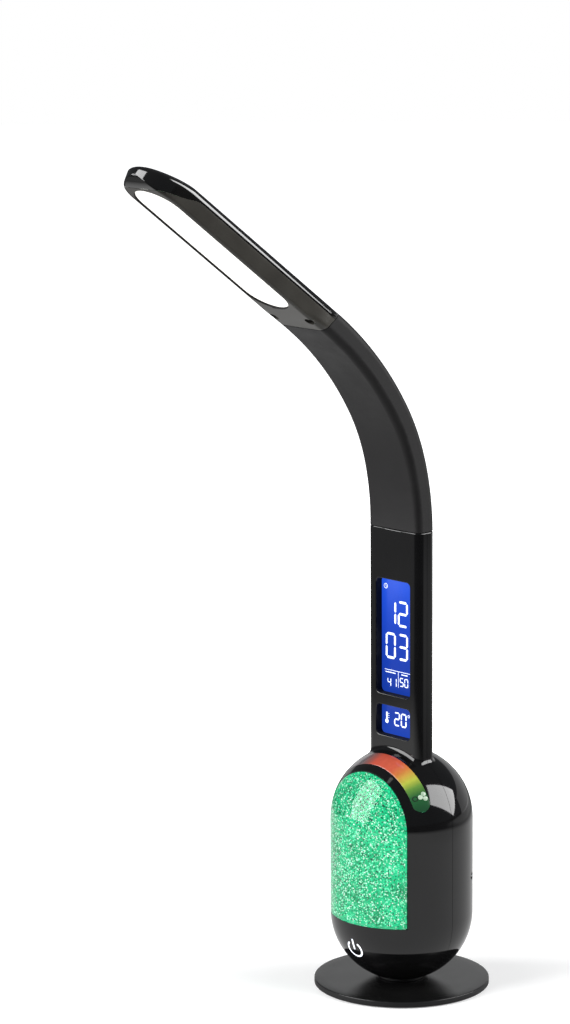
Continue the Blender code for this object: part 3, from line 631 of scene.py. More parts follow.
def surface_points(origin_y, angles, z):
    """Points of the housing's surface at height z, seen from (0, origin_y, z) at these angles."""
    way = np.stack([np.cos(angles), np.sin(angles) * np.sign(origin_y), np.zeros(len(angles))], 1)
    start = np.array([0.0, origin_y, z])
    low = np.zeros(len(angles))
    high = np.full(len(angles), 60.0)
    for _ in range(36):
        middle = (low + high) / 2
        inside = body_distance(start + way * middle[:, None]) < 0
        low = np.where(inside, middle, low)
        high = np.where(inside, high, middle)
    return start + way * low[:, None]


def housing_levels():
    start = acos(NECK_RADIUS / GLOBE_RADIUS)
    levels = [GLOBE_LOW - GLOBE_RADIUS * sin(start * (1 - i / 24)) for i in range(24)]
    levels += [GLOBE_LOW + (GLOBE_HIGH - GLOBE_LOW) * i / 8 for i in range(9)]
    levels += [GLOBE_HIGH + GLOBE_RADIUS * sin(radians(a)) for a in range(3, 42, 3)]
    z = levels[-1] + 1.0
    while z < 172:
        levels.append(z)
        z += 0.5 if z > 145 else 1.0
    while z < COLUMN_TOP - 4:
        levels.append(z)
        z += 6.0
    return levels + [COLUMN_TOP - 1.6, COLUMN_TOP - 0.75]


def half_shell(name, side):
    """One half of the housing: side -1 is the front, 1 the rear."""
    start_y = HALF_GAP * side
    angles = np.linspace(0, pi, 129)
    outer = [surface_points(start_y, angles, z) for z in housing_levels()]
    top = outer[-1]
    # the column's top edge is rounded
    for inset, drop in ((0.04, 0.45), (0.17, 0.2), (0.36, 0.06), (0.65, 0.0)):
        ring = top.copy()
        length = np.linalg.norm(ring[:, :2], axis=1)
        ring[:, :2] *= (1 - inset / length)[:, None]
        ring[:, 1] = np.where(np.abs(ring[:, 1]) < HALF_GAP + 0.01, start_y, ring[:, 1])
        ring[:, 2] = COLUMN_TOP - drop
        outer.append(ring)
    neck = outer[0].copy()
    neck[:, 2] = NECK_LOW
    outer = np.array([neck] + outer)
    flat = outer.reshape(-1, 3)
    inner = (flat - slope_of(body_distance, flat, 0.05) * WALL).reshape(outer.shape)
    inner[:, :, 1] = np.where(inner[:, :, 1] * side < HALF_GAP, start_y, inner[:, :, 1])
    inner[:, 0, 1] = inner[:, -1, 1] = start_y
    inner[:, :, 2] = np.clip(inner[:, :, 2], NECK_LOW, COLUMN_TOP)
    inner[0, :, 2] = NECK_LOW
    inner[-1, :, 2] = COLUMN_TOP
    return thick(name, outer, inner)


def rounded(half_u, half_v, corner, arc=6, sides=1, shift_v=0.0):
    """Outline of a rounded rectangle."""
    points = []
    for su, sv, first in ((1, -1, -90), (1, 1, 0), (-1, 1, 90), (-1, -1, 180)):
        for step in range(arc + 1):
            angle = radians(first + 90 * step / arc)
            points.append((su * (half_u - corner) + corner * cos(angle),
                           sv * (half_v - corner) + corner * sin(angle) + shift_v))
        if sv * su < 0 and sides > 1:
            start = sv * (half_v - corner)
            for step in range(1, sides):
                points.append((su * half_u, start * (1 - 2 * step / sides) + shift_v))
    return points


def display_cutter(low, high):
    """Opens the column's front for a display, with a rounded lip."""
    levels = [(-9.5, DISPLAY_LIP), (-COLUMN_HALF_DEPTH - 0.05, DISPLAY_LIP)]
    for step in range(1, 6):
        angle = pi / 2 * step / 5
        levels.append((-COLUMN_HALF_DEPTH + DISPLAY_LIP * (1 - cos(angle)), DISPLAY_LIP * (1 - sin(angle))))
    levels.append((PANEL_FACE + 1.0, 0.0))
    return loft("cutter", [display_ring(low, high, y, grow, 3.0 + grow) for y, grow in levels])


def display_ring(low, high, y, grow, corner):
    """A display's outline at y, grown all round."""
    half_v = (high - low) / 2 + grow
    return upright(rounded(DISPLAY_HALF_WIDTH + grow, half_v, corner, shift_v=(low + high) / 2), y)


def band(name, half, inner, outer, look=None, edge=0.0):
    """A band over the globe's shoulder with rounded ends, between two sphere radii."""
    middle_radius = sqrt(GLOBE_RADIUS ** 2 - SLIDER_MIDDLE ** 2)
    end = [pi / 20 * step for step in range(11)]
    marks = [(radians(SLIDER_END) - half * cos(turn) / middle_radius, half * sin(turn)) for turn in end]
    for step in range(1, 60):
        marks.append((radians(SLIDER_END + (180 - 2 * SLIDER_END) * step / 60), half))
    marks += [(pi - angle, reach) for angle, reach in reversed(marks[:11])]
    across = [sin(pi / 2 * (i / 8 - 1)) for i in range(17)]

    def spot(angle, y, radius):
        reach = sqrt(max(radius ** 2 - y ** 2, 0))
        return reach * cos(angle), y, GLOBE_HIGH + reach * sin(angle)

    sides = []
    for radius, cut_back in ((outer, edge), (inner, 0.0)):
        sides.append([[spot(angle, SLIDER_MIDDLE + part * reach, radius - cut_back * (abs(part) == 1))
                       for part in across] for angle, reach in marks])
    return thick(name, *sides, look, ends=False)


# the rear housing's screws: x, z, the seat's y, the recess's radius and the head's radius
SHELL_SCREWS = {
    "shell_screw_left": (-38.0, 75.0, 5.0, 2.4, 2.1),
    "shell_screw_right": (38.0, 75.0, 5.0, 2.4, 2.1),
    "shell_screw_top": (0.0, 288.0, 2.6, 2.0, 1.7),
}
BUTTONS = {"mode": 204.0, "up": 218.0, "down": 232.0}
BUTTON_RADIUS = 3.7
JACK_HEIGHT = 58.0
JACK_RADIUS = 4.8


def screw_boss(x, z, radius):
    """A screw's tube inside the rear housing; its far end lies within the housing's wall."""
    outline = circle(x, z, radius, 32)
    end = [(u, sqrt((GLOBE_RADIUS - WALL / 2) ** 2 - u * u) if x else 6.6, v) for u, v in outline]
    return loft("boss", [upright(outline, 0.15), end])


def finish_shell(made, node, matt):
    shade(made, 32)
    true_normals(made, surface_of(body_distance))
    make_matt(paint(made, GLOSS), matt)
    settle(made, "stand", "gloss_black_plastic", node)


def in_display_well(x, y, z):
    if not any(low - 1 < z < high + 1 for low, high in (MAIN_DISPLAY, SMALL_DISPLAY)):
        return False
    return abs(x) < DISPLAY_HALF_WIDTH + 0.4 and DISPLAY_LIP - COLUMN_HALF_DEPTH + 0.01 < y < PANEL_FACE + 1.2


def build_housing():
    front = half_shell("front_housing_shell", -1)
    cut(front, block("cutter", (-80, -80, WINDOW_BOTTOM), (80, WINDOW_PLANE, 200)))
    join(front, block("frame", (-20.0, -6.5, 163.0), (20.0, PANEL_FACE - 0.1, 277.5)))
    for low, high in (MAIN_DISPLAY, SMALL_DISPLAY):
        cut(front, display_cutter(low, high))
    cut(front, band("cutter", SLIDER_HALF, 38.0, 52.0))
    finish_shell(front, "front_housing", lambda x, y, z, face: z < NECK_TOP or in_display_well(x, y, z))

    rear = half_shell("rear_housing_shell", 1)
    for x, z, seat, recess, _ in SHELL_SCREWS.values():
        join(rear, screw_boss(x, z, recess + 0.6))
        cut(rear, rod("cutter", (x, seat, z), (x, 60, z), recess))
    cut(rear, rod("cutter", (0, 38, JACK_HEIGHT), (0, 60, JACK_HEIGHT), JACK_RADIUS, sides=48))
    for z in BUTTONS.values():
        cut(rear, rod("cutter", (0, 3, z), (0, 12, z), BUTTON_RADIUS + 0.2, sides=48))
    finish_shell(rear, "rear_housing", lambda x, y, z, face: z < NECK_TOP)


# ---- globe window

def arch_ring(half, bottom, y, rise=24, turns=48):
    """An upright outline with a half-round top over the globe's straight part, in the plane at y."""
    points = [(half, y, bottom + (GLOBE_HIGH - bottom) * i / rise) for i in range(rise)]
    arc = [pi * i / turns for i in range(turns + 1)]
    points += [(half * cos(turn), y, GLOBE_HIGH + half * sin(turn)) for turn in arc]
    points += [(-half, y, bottom + (GLOBE_HIGH - bottom) * (1 - i / rise)) for i in range(1, rise + 1)]
    return points


def arch_rings(radius, bottom, plane, steps=28):
    """Arches from the globe's front at this radius back to the plane."""
    turns = [acos(-plane / radius) * step / steps for step in range(steps + 1)]
    return [arch_ring(radius * sin(turn), bottom, -radius * cos(turn)) for turn in turns]


def build_window():
    low = WINDOW_BOTTOM + GAP
    rings = arch_rings(GLOBE_RADIUS, low, WINDOW_PLANE - GAP)
    rings += [arch_ring(31.6, low, y) for y in (WINDOW_PLANE - GAP, -4.0)]
    vessel = shade(loft("glitter_vessel_clear", rings, CLEAR))
    true_normals(vessel, surface_of(globe_distance))
    settle(vessel, "stand", "clear_plastic", "glitter_vessel")

    rings = arch_rings(GLOBE_RADIUS - CORE_DEPTH, low + 0.6, WINDOW_PLANE - 0.8)
    # a thin flange carries the glow out to the rim of the window
    rim = sqrt(GLOBE_RADIUS ** 2 - (WINDOW_PLANE - 0.6) ** 2) - 0.25
    rings += [arch_ring(rim, low + 0.3, y) for y in (WINDOW_PLANE - 0.6, WINDOW_PLANE - 0.4)]
    rings += [arch_ring(30.5, low + 0.6, y) for y in (WINDOW_PLANE - 0.2, -7.0)]
    core = shade(loft("glitter_liquid_core", rings, LIQUID))
    settle(core, "stand", "glitter_liquid", "glitter_liquid")
    build_flakes(low)


def build_flakes(low):
    """Loose hexagonal flakes between the clear wall and the glowing liquid behind it."""
    points, faces, tones = [], [], []
    half = acos((-WINDOW_PLANE + 1.5) / (GLOBE_RADIUS - CORE_DEPTH + 0.2))
    for _ in range(FLAKE_COUNT):
        radius = GLOBE_RADIUS - rng.uniform(CORE_DEPTH - 2.2, CORE_DEPTH - 0.3)
        height = rng.uniform(low + 1.2, GLOBE_HIGH + 36)
        angle = rng.uniform(-half, half)
        size = rng.uniform(0.28, 0.72)
        tilt = Vector((rng.gauss(0, 1), rng.gauss(0, 1), rng.gauss(0, 1))).normalized()
        # painted shade: only flakes near the top may take the darkest tones, so the globe's top looks darker
        tone = rng.random()
        if height < GLOBE_HIGH + 8:
            tone = 0.16 + 0.84 * tone
        above = max(height - GLOBE_HIGH, 0.0)
        reach = sqrt(max(radius ** 2 - above ** 2, 0.0))
        spot = Vector((reach * sin(angle), -reach * cos(angle), height))
        if spot.y > WINDOW_PLANE - 1.3:
            continue
        outward = Vector((spot.x, spot.y, above)).normalized()
        normal = (outward + tilt * 0.8).normalized()
        side = normal.orthogonal().normalized()
        other = normal.cross(side)
        first = len(points)
        points += [tuple(spot + side * u + other * v) for u, v in circle(0, 0, size, 6)]
        faces.append(tuple(range(first, first + 6)))
        tones += [tone] * 6
    made = raw("glitter_flakes", points, faces)
    made.data.attributes.new("tone", "FLOAT", "POINT").data.foreach_set("value", tones)
    made.data.materials.append(FOIL)
    settle(made, "stand", "glitter_liquid")


# ---- slider and power mark

def build_slider():
    strip = band("slider_strip_face", SLIDER_HALF - 0.18, 44.7, GLOBE_RADIUS, SLIDER, edge=0.12)
    settle(shade(strip, 35), "stand", "slider_plastic", "slider_strip")


def build_slider_icon():
    """Three pale dots and a ring, for mixing colours, at the strip's green end."""
    def place(u, v, lift):
        y = SLIDER_MIDDLE + v
        reach = sqrt((GLOBE_RADIUS + lift) ** 2 - y ** 2)
        angle = radians(SLIDER_END) + u / reach
        return reach * cos(angle), y, GLOBE_HIGH + reach * sin(angle)

    size = 1.5
    parts = []
    for u, v in ((5.7, 3.3), (2.5, 3.4), (4.1, 0.7)):
        rings = []
        for share, lift in ((1.0, -0.05), (1.0, 0.05), (0.9, 0.1), (0.05, 0.12)):
            rings.append([place(*spot, lift) for spot in circle(u, v, size * share)])
        parts.append(shade(loft("dot", rings, ICON_PALE), 40))
    settle(merge("slider_mark_dots", parts), "stand", "slider_plastic")
    ring = stroke("slider_mark_ring", place, circle(4.1, -2.7, size), 0.5, WELL, -0.02, 0.14, True)
    settle(ring, "stand", "slider_plastic")


def stroke(name, place, line, width, look, base=0.0, height=0.12, closed=False):
    """A raised line of constant width with round ends, laid on a surface by place(u, v, lift)."""
    half = width / 2
    count = len(line)
    path = []
    for index, (u, v) in enumerate(line):
        before = line[index - 1 if index or closed else 0]
        after = line[(index + 1) % count if index < count - 1 or closed else index]
        du, dv = after[0] - before[0], after[1] - before[1]
        size = hypot(du, dv) or 1.0
        path.append((u, v, -dv / size, du / size))
    if not closed:
        head, tail = [], []
        for step in range(1, 5):
            back = half * sin(pi / 8 * step)
            thin = cos(pi / 8 * step)
            for ends, (u, v, nu, nv), way in ((head, path[0], -1), (tail, path[-1], 1)):
                ends.append((u + nv * back * way, v - nu * back * way, nu * thin, nv * thin))
        path = head[::-1] + path + tail
    profile = ((-1.0, 0.0), (-1.0, 0.6), (-0.8, 1.0), (0.8, 1.0), (1.0, 0.6), (1.0, 0.0))
    rings = []
    for u, v, nu, nv in path:
        rings.append([place(u + nu * half * a, v + nv * half * a, base + height * b) for a, b in profile])
    if not closed:
        return shade(loft(name, rings, look), 40)
    rings.append(rings[0])
    points = [p for ring in rings for p in ring]
    return shade(make(name, points, grid(len(rings), len(profile), around=True), look), 40)


def merge(name, pieces):
    """Joins pieces into one object."""
    for found in list(bpy.context.selected_objects):
        found.select_set(False)
    for piece in pieces:
        piece.select_set(True)
    bpy.context.view_layer.objects.active = pieces[0]
    bpy.ops.object.join()
    pieces[0].name = name
    pieces[0].data.name = name
    return pieces[0]


def build_power_mark():
    way = Vector((0, -0.925, -0.38)).normalized()
    upward = Vector((0, way.z, -way.y))

    def place(u, v, lift):
        """A point on the globe's lower front, u to the left and v up from the mark's middle."""
        spot = (way * GLOBE_RADIUS + Vector((-u, 0, 0)) + upward * v).normalized() * (GLOBE_RADIUS + lift)
        return spot.x, spot.y, spot.z + GLOBE_LOW

    ring = [(5.8 * sin(radians(a)), 5.8 * cos(radians(a)) - 0.9) for a in range(42, 319, 6)]
    bar = [(0, 6.4), (0, 3.0), (0, -0.4)]
    parts = [stroke("line", place, line, 1.25, ICON_LIGHT) for line in (ring, bar)]
    settle(merge("power_mark", parts), "stand", "gloss_black_plastic")


# ---- display

SEGMENTS_OF = {"0": "abcdef", "1": "bc", "2": "abged", "3": "abgcd", "4": "fgbc", "5": "afgcd"}


def digit(text, left, right, bottom, top, width, place):
    """A seven-segment digit whose strokes have pointed ends."""
    inset = width / 2
    ends = {"a": ((0, 2), (2, 2)), "b": ((2, 2), (2, 1)), "c": ((2, 1), (2, 0)), "d": ((0, 0), (2, 0)),
            "e": ((0, 1), (0, 0)), "f": ((0, 2), (0, 1)), "g": ((0, 1), (2, 1))}
    columns = (left + inset, 0.0, right - inset)
    rows = (bottom + inset, (bottom + top) / 2, top - inset)
    parts = []
    for key in SEGMENTS_OF[text]:
        (u0, v0), (u1, v1) = [(columns[i], rows[j]) for i, j in ends[key]]
        size = hypot(u1 - u0, v1 - v0)
        du, dv = (u1 - u0) / size, (v1 - v0) / size
        a, b = width * 0.2, size - width * 0.2
        corners = ((a, 0), (a + inset, 1), (b - inset, 1), (b, 0), (b - inset, -1), (a + inset, -1))
        outline = [(u0 + du * along - dv * inset * across, v0 + dv * along + du * inset * across)
                   for along, across in corners]
        rings = [[place(u, v, lift) for u, v in outline] for lift in (0.0, 0.12)]
        parts.append(loft("segment", rings, DIGITS))
    return parts


# each digit: what it says, left, right, bottom, top and the strokes' width
MAIN_DIGITS = (("1", -6.4, -1.4, 240.4, 257.0, 1.55), ("2", 0.2, 9.3, 240.2, 257.3, 1.55),
               ("0", -10.9, -1.7, 217.9, 235.2, 1.55), ("3", 0.6, 9.4, 218.0, 235.7, 1.55))
DATE_DIGITS = (("4", -9.3, -6.0, 199.1, 205.0, 0.6), ("1", -4.2, -1.0, 199.3, 205.6, 0.6),
               ("5", 2.0, 5.4, 200.6, 206.5, 0.6), ("0", 6.2, 9.6, 200.6, 206.5, 0.6))
SMALL_DIGITS = (("2", -3.2, 2.0, 173.6, 182.9, 0.95), ("0", 2.9, 8.1, 173.6, 182.9, 0.95))


def build_panels():
    for name, (low, high) in (("main", MAIN_DISPLAY), ("small", SMALL_DISPLAY)):
        levels = ((PANEL_FACE, 1.2), (PANEL_FACE + 0.1, 1.4), (-2.0, 1.4))
        rings = [display_ring(low, high, y, grow, 4.0) for y, grow in levels]
        panel = shade(loft(name + "_display_panel", rings, LCD))
        settle(panel, "stand", "lcd_blue", name + "_lcd_panel")


def build_display_marks():
    def place(u, v, lift):
        return u - 0.8, PANEL_FACE - 0.02 - lift, v

    def line(points, width, closed=False):
        return stroke("line", place, points, width, DIGITS, height=0.1, closed=closed)

    def write(digits):
        return [part for values in digits for part in digit(*values, place)]

    main = write(MAIN_DIGITS)
    main.append(line([(-11.8, 210.2), (0, 210.2), (11.1, 210.2)], 0.35))
    main.append(line([(0.6, 209.9), (0.6, 199.6)], 0.35))
    for start, end in ((-10.9, -8.2), (-7.4, -5.6), (-4.9, -2.2), (3.6, 8.8)):
        main.append(line([(start, 208.6), (end, 208.6)], 0.6))
    main += write(DATE_DIGITS)
    main.append(line(circle(-10.9, 265.6, 1.55), 0.4, True))
    main.append(line([(-10.9, 266.6), (-10.9, 265.6), (-10.1, 265.2)], 0.35))
    settle(merge("main_display_marks", main), "stand", "lcd_blue")

    # the temperature, its degree ring and a thermometer sign
    small = write(SMALL_DIGITS)
    small.append(line(circle(10.0, 181.8, 0.8, 18), 0.4, True))
    small.append(line([(-10.0, 181.2), (-10.0, 177.0)], 1.3))
    small.append(line(circle(-10.0, 175.6, 0.75, 18), 1.5, True))
    small += [line([(-8.6, v), (-7.9, v)], 0.35) for v in (178.0, 179.4, 180.8)]
    settle(merge("small_display_marks", small), "stand", "lcd_blue")


# ---- base

def build_base():
    rim = []
    for radius, middle, first in ((0.7, 3.8, 0.0), (0.5, 1.1, 90.0)):
        for step in range(7):
            angle = radians(first + 90 * step / 6)
            rim.append((DISC_RADIUS - radius + radius * sin(angle), middle + radius * cos(angle)))
    profile = [(radius, 4.5) for radius in (0.0, 16.0, 30.0, 50.0)] + rim
    profile += [(54.3, 0.6), (54.3, 1.8), (0.0, 1.8)]
    disc = lathe("base_disc_plate", profile, PAINTED, 180)
    for angle in (90, 210, 330):
        x, y = 9 * cos(radians(angle)), 9 * sin(radians(angle))
        cut(disc, rod("cutter", (x, y, 0), (x, y, 3.5), 3.0))
    make_matt(shade(disc, 25), lambda x, y, z, face: hypot(x, y) > DISC_RADIUS - 0.65 and z < 4.1)
    settle(disc, "stand", "base_metal", "base_disc")


# ---- arm

def arm_frame(s):
    """Height along the arm's centreline to (y, z, lean from upright in radians)."""
    y, z, lean, done = 0.0, COLUMN_TOP, 0.0, 0.0
    if s <= 0:
        return 0.0, COLUMN_TOP + s, 0.0
    for bend in ARM_BENDS:
        run = min(s - done, ARM_STRETCH)
        turn = radians(bend) * run / ARM_STRETCH
        radius = ARM_STRETCH / radians(bend)
        y += radius * (cos(lean + turn) - cos(lean))
        z += radius * (sin(lean + turn) - sin(lean))
        lean += turn
        done += run
        if s - done < 1e-9:
            return y, z, lean
    return y - (s - done) * sin(lean), z + (s - done) * cos(lean), lean


def arm_point(s, x, under):
    y, z, lean = arm_frame(s)
    return x, y - under * cos(lean), z - under * sin(lean)


def sleeve_halves(s):
    """Half the sleeve's width and half its depth at s."""
    part = np.clip(s / ARM_LENGTH, 0, 1)
    return (COLUMN_HALF_WIDTH + (HEAD_HALF_WIDTH - COLUMN_HALF_WIDTH) * part,
            COLUMN_HALF_DEPTH + (HEAD_HALF_DEPTH - COLUMN_HALF_DEPTH) * part)


def sleeve_outline(s, inset):
    half_u, half_v = sleeve_halves(s)
    return rounded(half_u - inset, half_v - inset, COLUMN_CORNER - inset, arc=8, sides=8)


def seam_at(under):
    return ARM_LENGTH + SEAM_MIDDLE + SEAM_SLANT * under / HEAD_HALF_DEPTH


def sleeve_ring(s, inset, share=0.0):
    """A ring of the sleeve at s; as share goes to 1 it leans until it matches the head's seam."""
    return [arm_point(s + share * (seam_at(v) - GAP - s), u, v) for u, v in sleeve_outline(s, inset)]


def build_sleeve():
    """Six pieces, each spanning one joint."""
    marks = (GAP, *SLEEVE_SPLITS, ARM_LENGTH + SEAM_MIDDLE)
    steps = 24
    for number, pivot in enumerate(ARM_PIVOTS):
        start, end = marks[number], marks[number + 1]
        last = number == len(ARM_PIVOTS) - 1
        outer, inner = [], []
        for step in range(steps + 1):
            s = start + (end - start) * step / steps
            share = max(0.0, (step / steps - 0.5) * 2) ** 2 if last else 0.0
            outer.append(sleeve_ring(s, 0.0, share))
            inner.append(sleeve_ring(s, WALL, share))
        if number == 0:
            # a small round where the sleeve meets the column
            edge = ((0.0, 0.25), (0.25, 0.04), (0.5, 0.0))
            outer[:1] = [sleeve_ring(GAP + along, inset) for along, inset in edge]
            inner[1:1] = [sleeve_ring(GAP + along, WALL) for along, _ in edge[1:]]
        made = shade(thick("arm_sleeve_%d" % (number + 1), outer, inner, SILICONE, around=True), 40)
        true_normals(made, surface_of(sleeve_distance))
        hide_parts(*(["sleeve_%d" % number] + ["sleeve_6"] * last))
        low, high = [[c * MM for c in arm_point(pivot + reach, 0, 0)] for reach in (-10, 10)]
        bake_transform(made)
        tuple(low)
        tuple(high)


LINE = np.array([(s, *arm_frame(s)) for s in np.arange(0, 180.01, 0.25)])


def sleeve_distance(p):
    """How far points are outside the sleeve's surface."""
    result = np.zeros(len(p))
    for first in range(0, len(p), 2000):
        part = p[first:first + 2000]
        gap = (part[:, None, 1] - LINE[None, :, 1]) ** 2 + (part[:, None, 2] - LINE[None, :, 2]) ** 2
        s, y, z, lean = LINE[gap.argmin(1)].T
        dy, dz = part[:, 1] - y, part[:, 2] - z
        under = -(dy * np.cos(lean) + dz * np.sin(lean))
        halves = sleeve_halves(s - dy * np.sin(lean) + dz * np.cos(lean))
        result[first:first + 2000] = box_distance(part[:, 0], under, *halves)
    return result


# ---- head

def head_place():
    y, z, lean = arm_frame(ARM_LENGTH)
    along = Vector((0, -sin(lean), cos(lean)))
    up = Vector((0, cos(lean), sin(lean)))
    across = along.cross(up)
    turn = Matrix((across, along, up)).transposed().to_4x4()
    return Matrix.Translation((0, y * MM, z * MM)) @ turn


def head_section(a, inset=0.0):
    plan = max(0.0, (a - (HEAD_LENGTH - HEAD_TIP_ROUND)) / HEAD_TIP_ROUND)
    side = max(0.0, (a - (HEAD_LENGTH - HEAD_TIP_TAPER)) / HEAD_TIP_TAPER)
    half = HEAD_HALF_WIDTH * sqrt(max(0.0, 1 - plan * plan))
    curl = 1 - sqrt(max(0.0, 1 - side * side))
    low = max(0.0, (a - (HEAD_LENGTH - HEAD_UNDER_TAPER)) / HEAD_UNDER_TAPER)
    under = -HEAD_HALF_DEPTH + HEAD_UNDER_LIFT * (1 - sqrt(max(0.0, 1 - low * low))) + inset
    top = HEAD_HALF_DEPTH - HEAD_TOP_DROP * curl - inset
    return half - inset, under, top


# how the lower frame's side leans in, from the parting line (0) to the underside (1), in degrees
SIDE_LEAN = ((0.0, 0.0), (0.09, 10.0), (0.82, 11.0), (0.94, 35.0), (1.0, 80.0))
SIDE_STOPS = (0.0, 0.08, 0.16, 0.24, 0.33, 0.42, 0.51, 0.6, 0.68,
              0.75, 0.81, 0.86, 0.9, 0.935, 0.96, 0.98, 0.992, 1.0)
SPLIT_SHARE = (HEAD_SPLIT + HEAD_HALF_DEPTH) / (2 * HEAD_HALF_DEPTH)


def side_offsets():
    """How far the side has come in at each of SIDE_STOPS, in mm, for the head's full height."""
    full = HEAD_SPLIT + HEAD_HALF_DEPTH
    marks, leans = zip(*SIDE_LEAN)
    fine = np.linspace(0, 1, 2001)
    slope = np.tan(np.radians(np.interp(fine, marks, leans)))
    total = np.concatenate([[0.0], np.cumsum((slope[1:] + slope[:-1]) / 2) * full / 2000])
    return np.interp(SIDE_STOPS, fine, total)


SIDE_OFFSETS = side_offsets()


def ease(value):
    """From 0 to 1, with a soft start and end."""
    value = min(1.0, max(0.0, value))
    return value * value * (3 - 2 * value)


def head_outline(a, inset=0.0, shrink=0.0):
    """Section of the head at a: flat below, sides that lean in below the parting line, round on top."""
    half, low, high = head_section(max(a, 0.0), inset)
    half, low, high = half - shrink, low + shrink, high - shrink
    middle = low + SPLIT_SHARE * (high - low)
    lean = ease((a - 3.0) / 22.0)
    scale = min(1.0, (middle - low) / (HEAD_SPLIT + HEAD_HALF_DEPTH), half / 9.0)
    corner = (HEAD_CORNER - inset) * scale
    right = []
    for share, offset in zip(SIDE_STOPS, SIDE_OFFSETS):
        v = middle + (low - middle) * share
        rise = max(0.0, corner - (v - low))
        round_in = corner - sqrt(max(0.0, corner ** 2 - rise ** 2)) if corner > 0 else 0.0
        right.append((half - (1 - lean) * round_in - lean * offset * scale, v))
    right.reverse()
    below = [(right[0][0] * part, low) for part in (0.0, 0.35, 0.7, 0.9)]
    # the nose is domed: its top loses its flat
    nose = ease((a - HEAD_LENGTH + HEAD_NOSE) / (HEAD_NOSE - 6.0))
    tall = (0.835 + 0.13 * nose) * (high - middle)
    wide = min(tall, half * 0.85) * (1 - nose) + half * 0.97 * nose
    above = [(half, middle + (high - tall - middle) * 0.6)]
    for step in range(11):
        angle = pi / 2 * step / 10
        above.append((half - wide + wide * cos(angle), high - tall + tall * sin(angle)))
    above += [((half - wide) * part, high) for part in (0.7, 0.35, 0.0)]
    right = below + right + above
    return right + [(-u, v) for u, v in reversed(right[1:-1])]


def head_form(inset=0.0):
    """The head's outer form; inset gives the form of its inside."""
    def seam_ring(back, shrink):
        outline = head_outline(0.0, inset, shrink)
        return [(u, seam_at(-v) - ARM_LENGTH + back, v) for u, v in outline]

    stops = [3.0 + 2 * i for i in range(12)] + [28.0]
    stops += [28.0 + 119.0 * i / 12 for i in range(1, 13)]
    start = HEAD_LENGTH - HEAD_TIP_TAPER
    stops += [start + (HEAD_TIP_TAPER - HEAD_TIP_ROUND) * i / 6 for i in range(1, 7)]
    angle = 2.0
    while angle <= (66 if inset else 88.8):
        stops.append(HEAD_LENGTH - HEAD_TIP_ROUND + HEAD_TIP_ROUND * sin(radians(angle)))
        angle += 2.0 if angle < 80 else 1.1
    edge = ((inset, 0.0),) if inset else ((0.0, 0.3), (0.1, 0.09), (0.3, 0.0))
    rings = [seam_ring(back, shrink) for back, shrink in edge]
    for a in stops:
        if a > (7.5 if inset else 5.5):
            rings.append([(u, a, v) for u, v in head_outline(a, inset)])
    return loft("head", rings)


def stadium(half_width, start, end, steps=24):
    """An outline with two half-round ends."""
    points = []
    for first, middle in ((0.0, end - half_width), (pi, start + half_width)):
        for step in range(steps + 1):
            angle = first + pi * step / steps
            points.append((half_width * cos(angle), middle + half_width * sin(angle)))
    return points


# the parting line's height along the head: it dives under the nose, which belongs to the top cover
SPLIT_LINE = ((-40.0, 2.45), (137.0, 2.45), (140.0, 2.2), (143.0, 1.4), (146.0, 0.3), (149.0, -1.0),
              (153.5, -2.6), (158.0, -4.0), (161.5, -4.9), (165.0, -5.9), (168.0, -7.2),
              (171.0, -9.0), (174.0, -12.0), (240.0, -13.0))
# the diffuser's face, from its rim inward: how far in, and how far it stands out
LENS_PROFILE = ((0.3, 0.0), (0.3, 0.3), (0.38, 0.5), (0.6, 0.62), (1.2, 0.72), (3.0, 0.85),
                (8.0, 1.05), (14.0, 1.15))
LENS_LOW = -6.4


def split_cutter(lift, far):
    """Everything on one side of the parting line."""
    line = [(a, v + lift) for a, v in SPLIT_LINE]
    outline = line + [(line[-1][0], far), (line[0][0], far)]
    return loft("cutter", [[(u, a, v) for a, v in outline] for u in (-60.0, 60.0)])


def cross_cut(head, size, levels, plane, spot, first):
    """Cuts a cross into a screw's head, turned by first degrees."""
    u, v = size
    outline = [(-u, -v), (u, -v), (u, v), (-u, v)]
    for turn in (0, 90):
        slot = slab("cutter", outline, *levels, plane)
        axis = "Z" if plane == "XY" else "Y"
        place = Matrix.Translation(Vector(spot) * MM)
        slot.data.transform(place @ Matrix.Rotation(radians(turn + first), 4, axis))
        cut(head, slot)


def in_diffuser_opening(x, a, v, face):
    return abs(face.normal.z) < 0.3 and -8.15 < v < -5.0 and abs(x) < 17.7 and 27 < a < 168


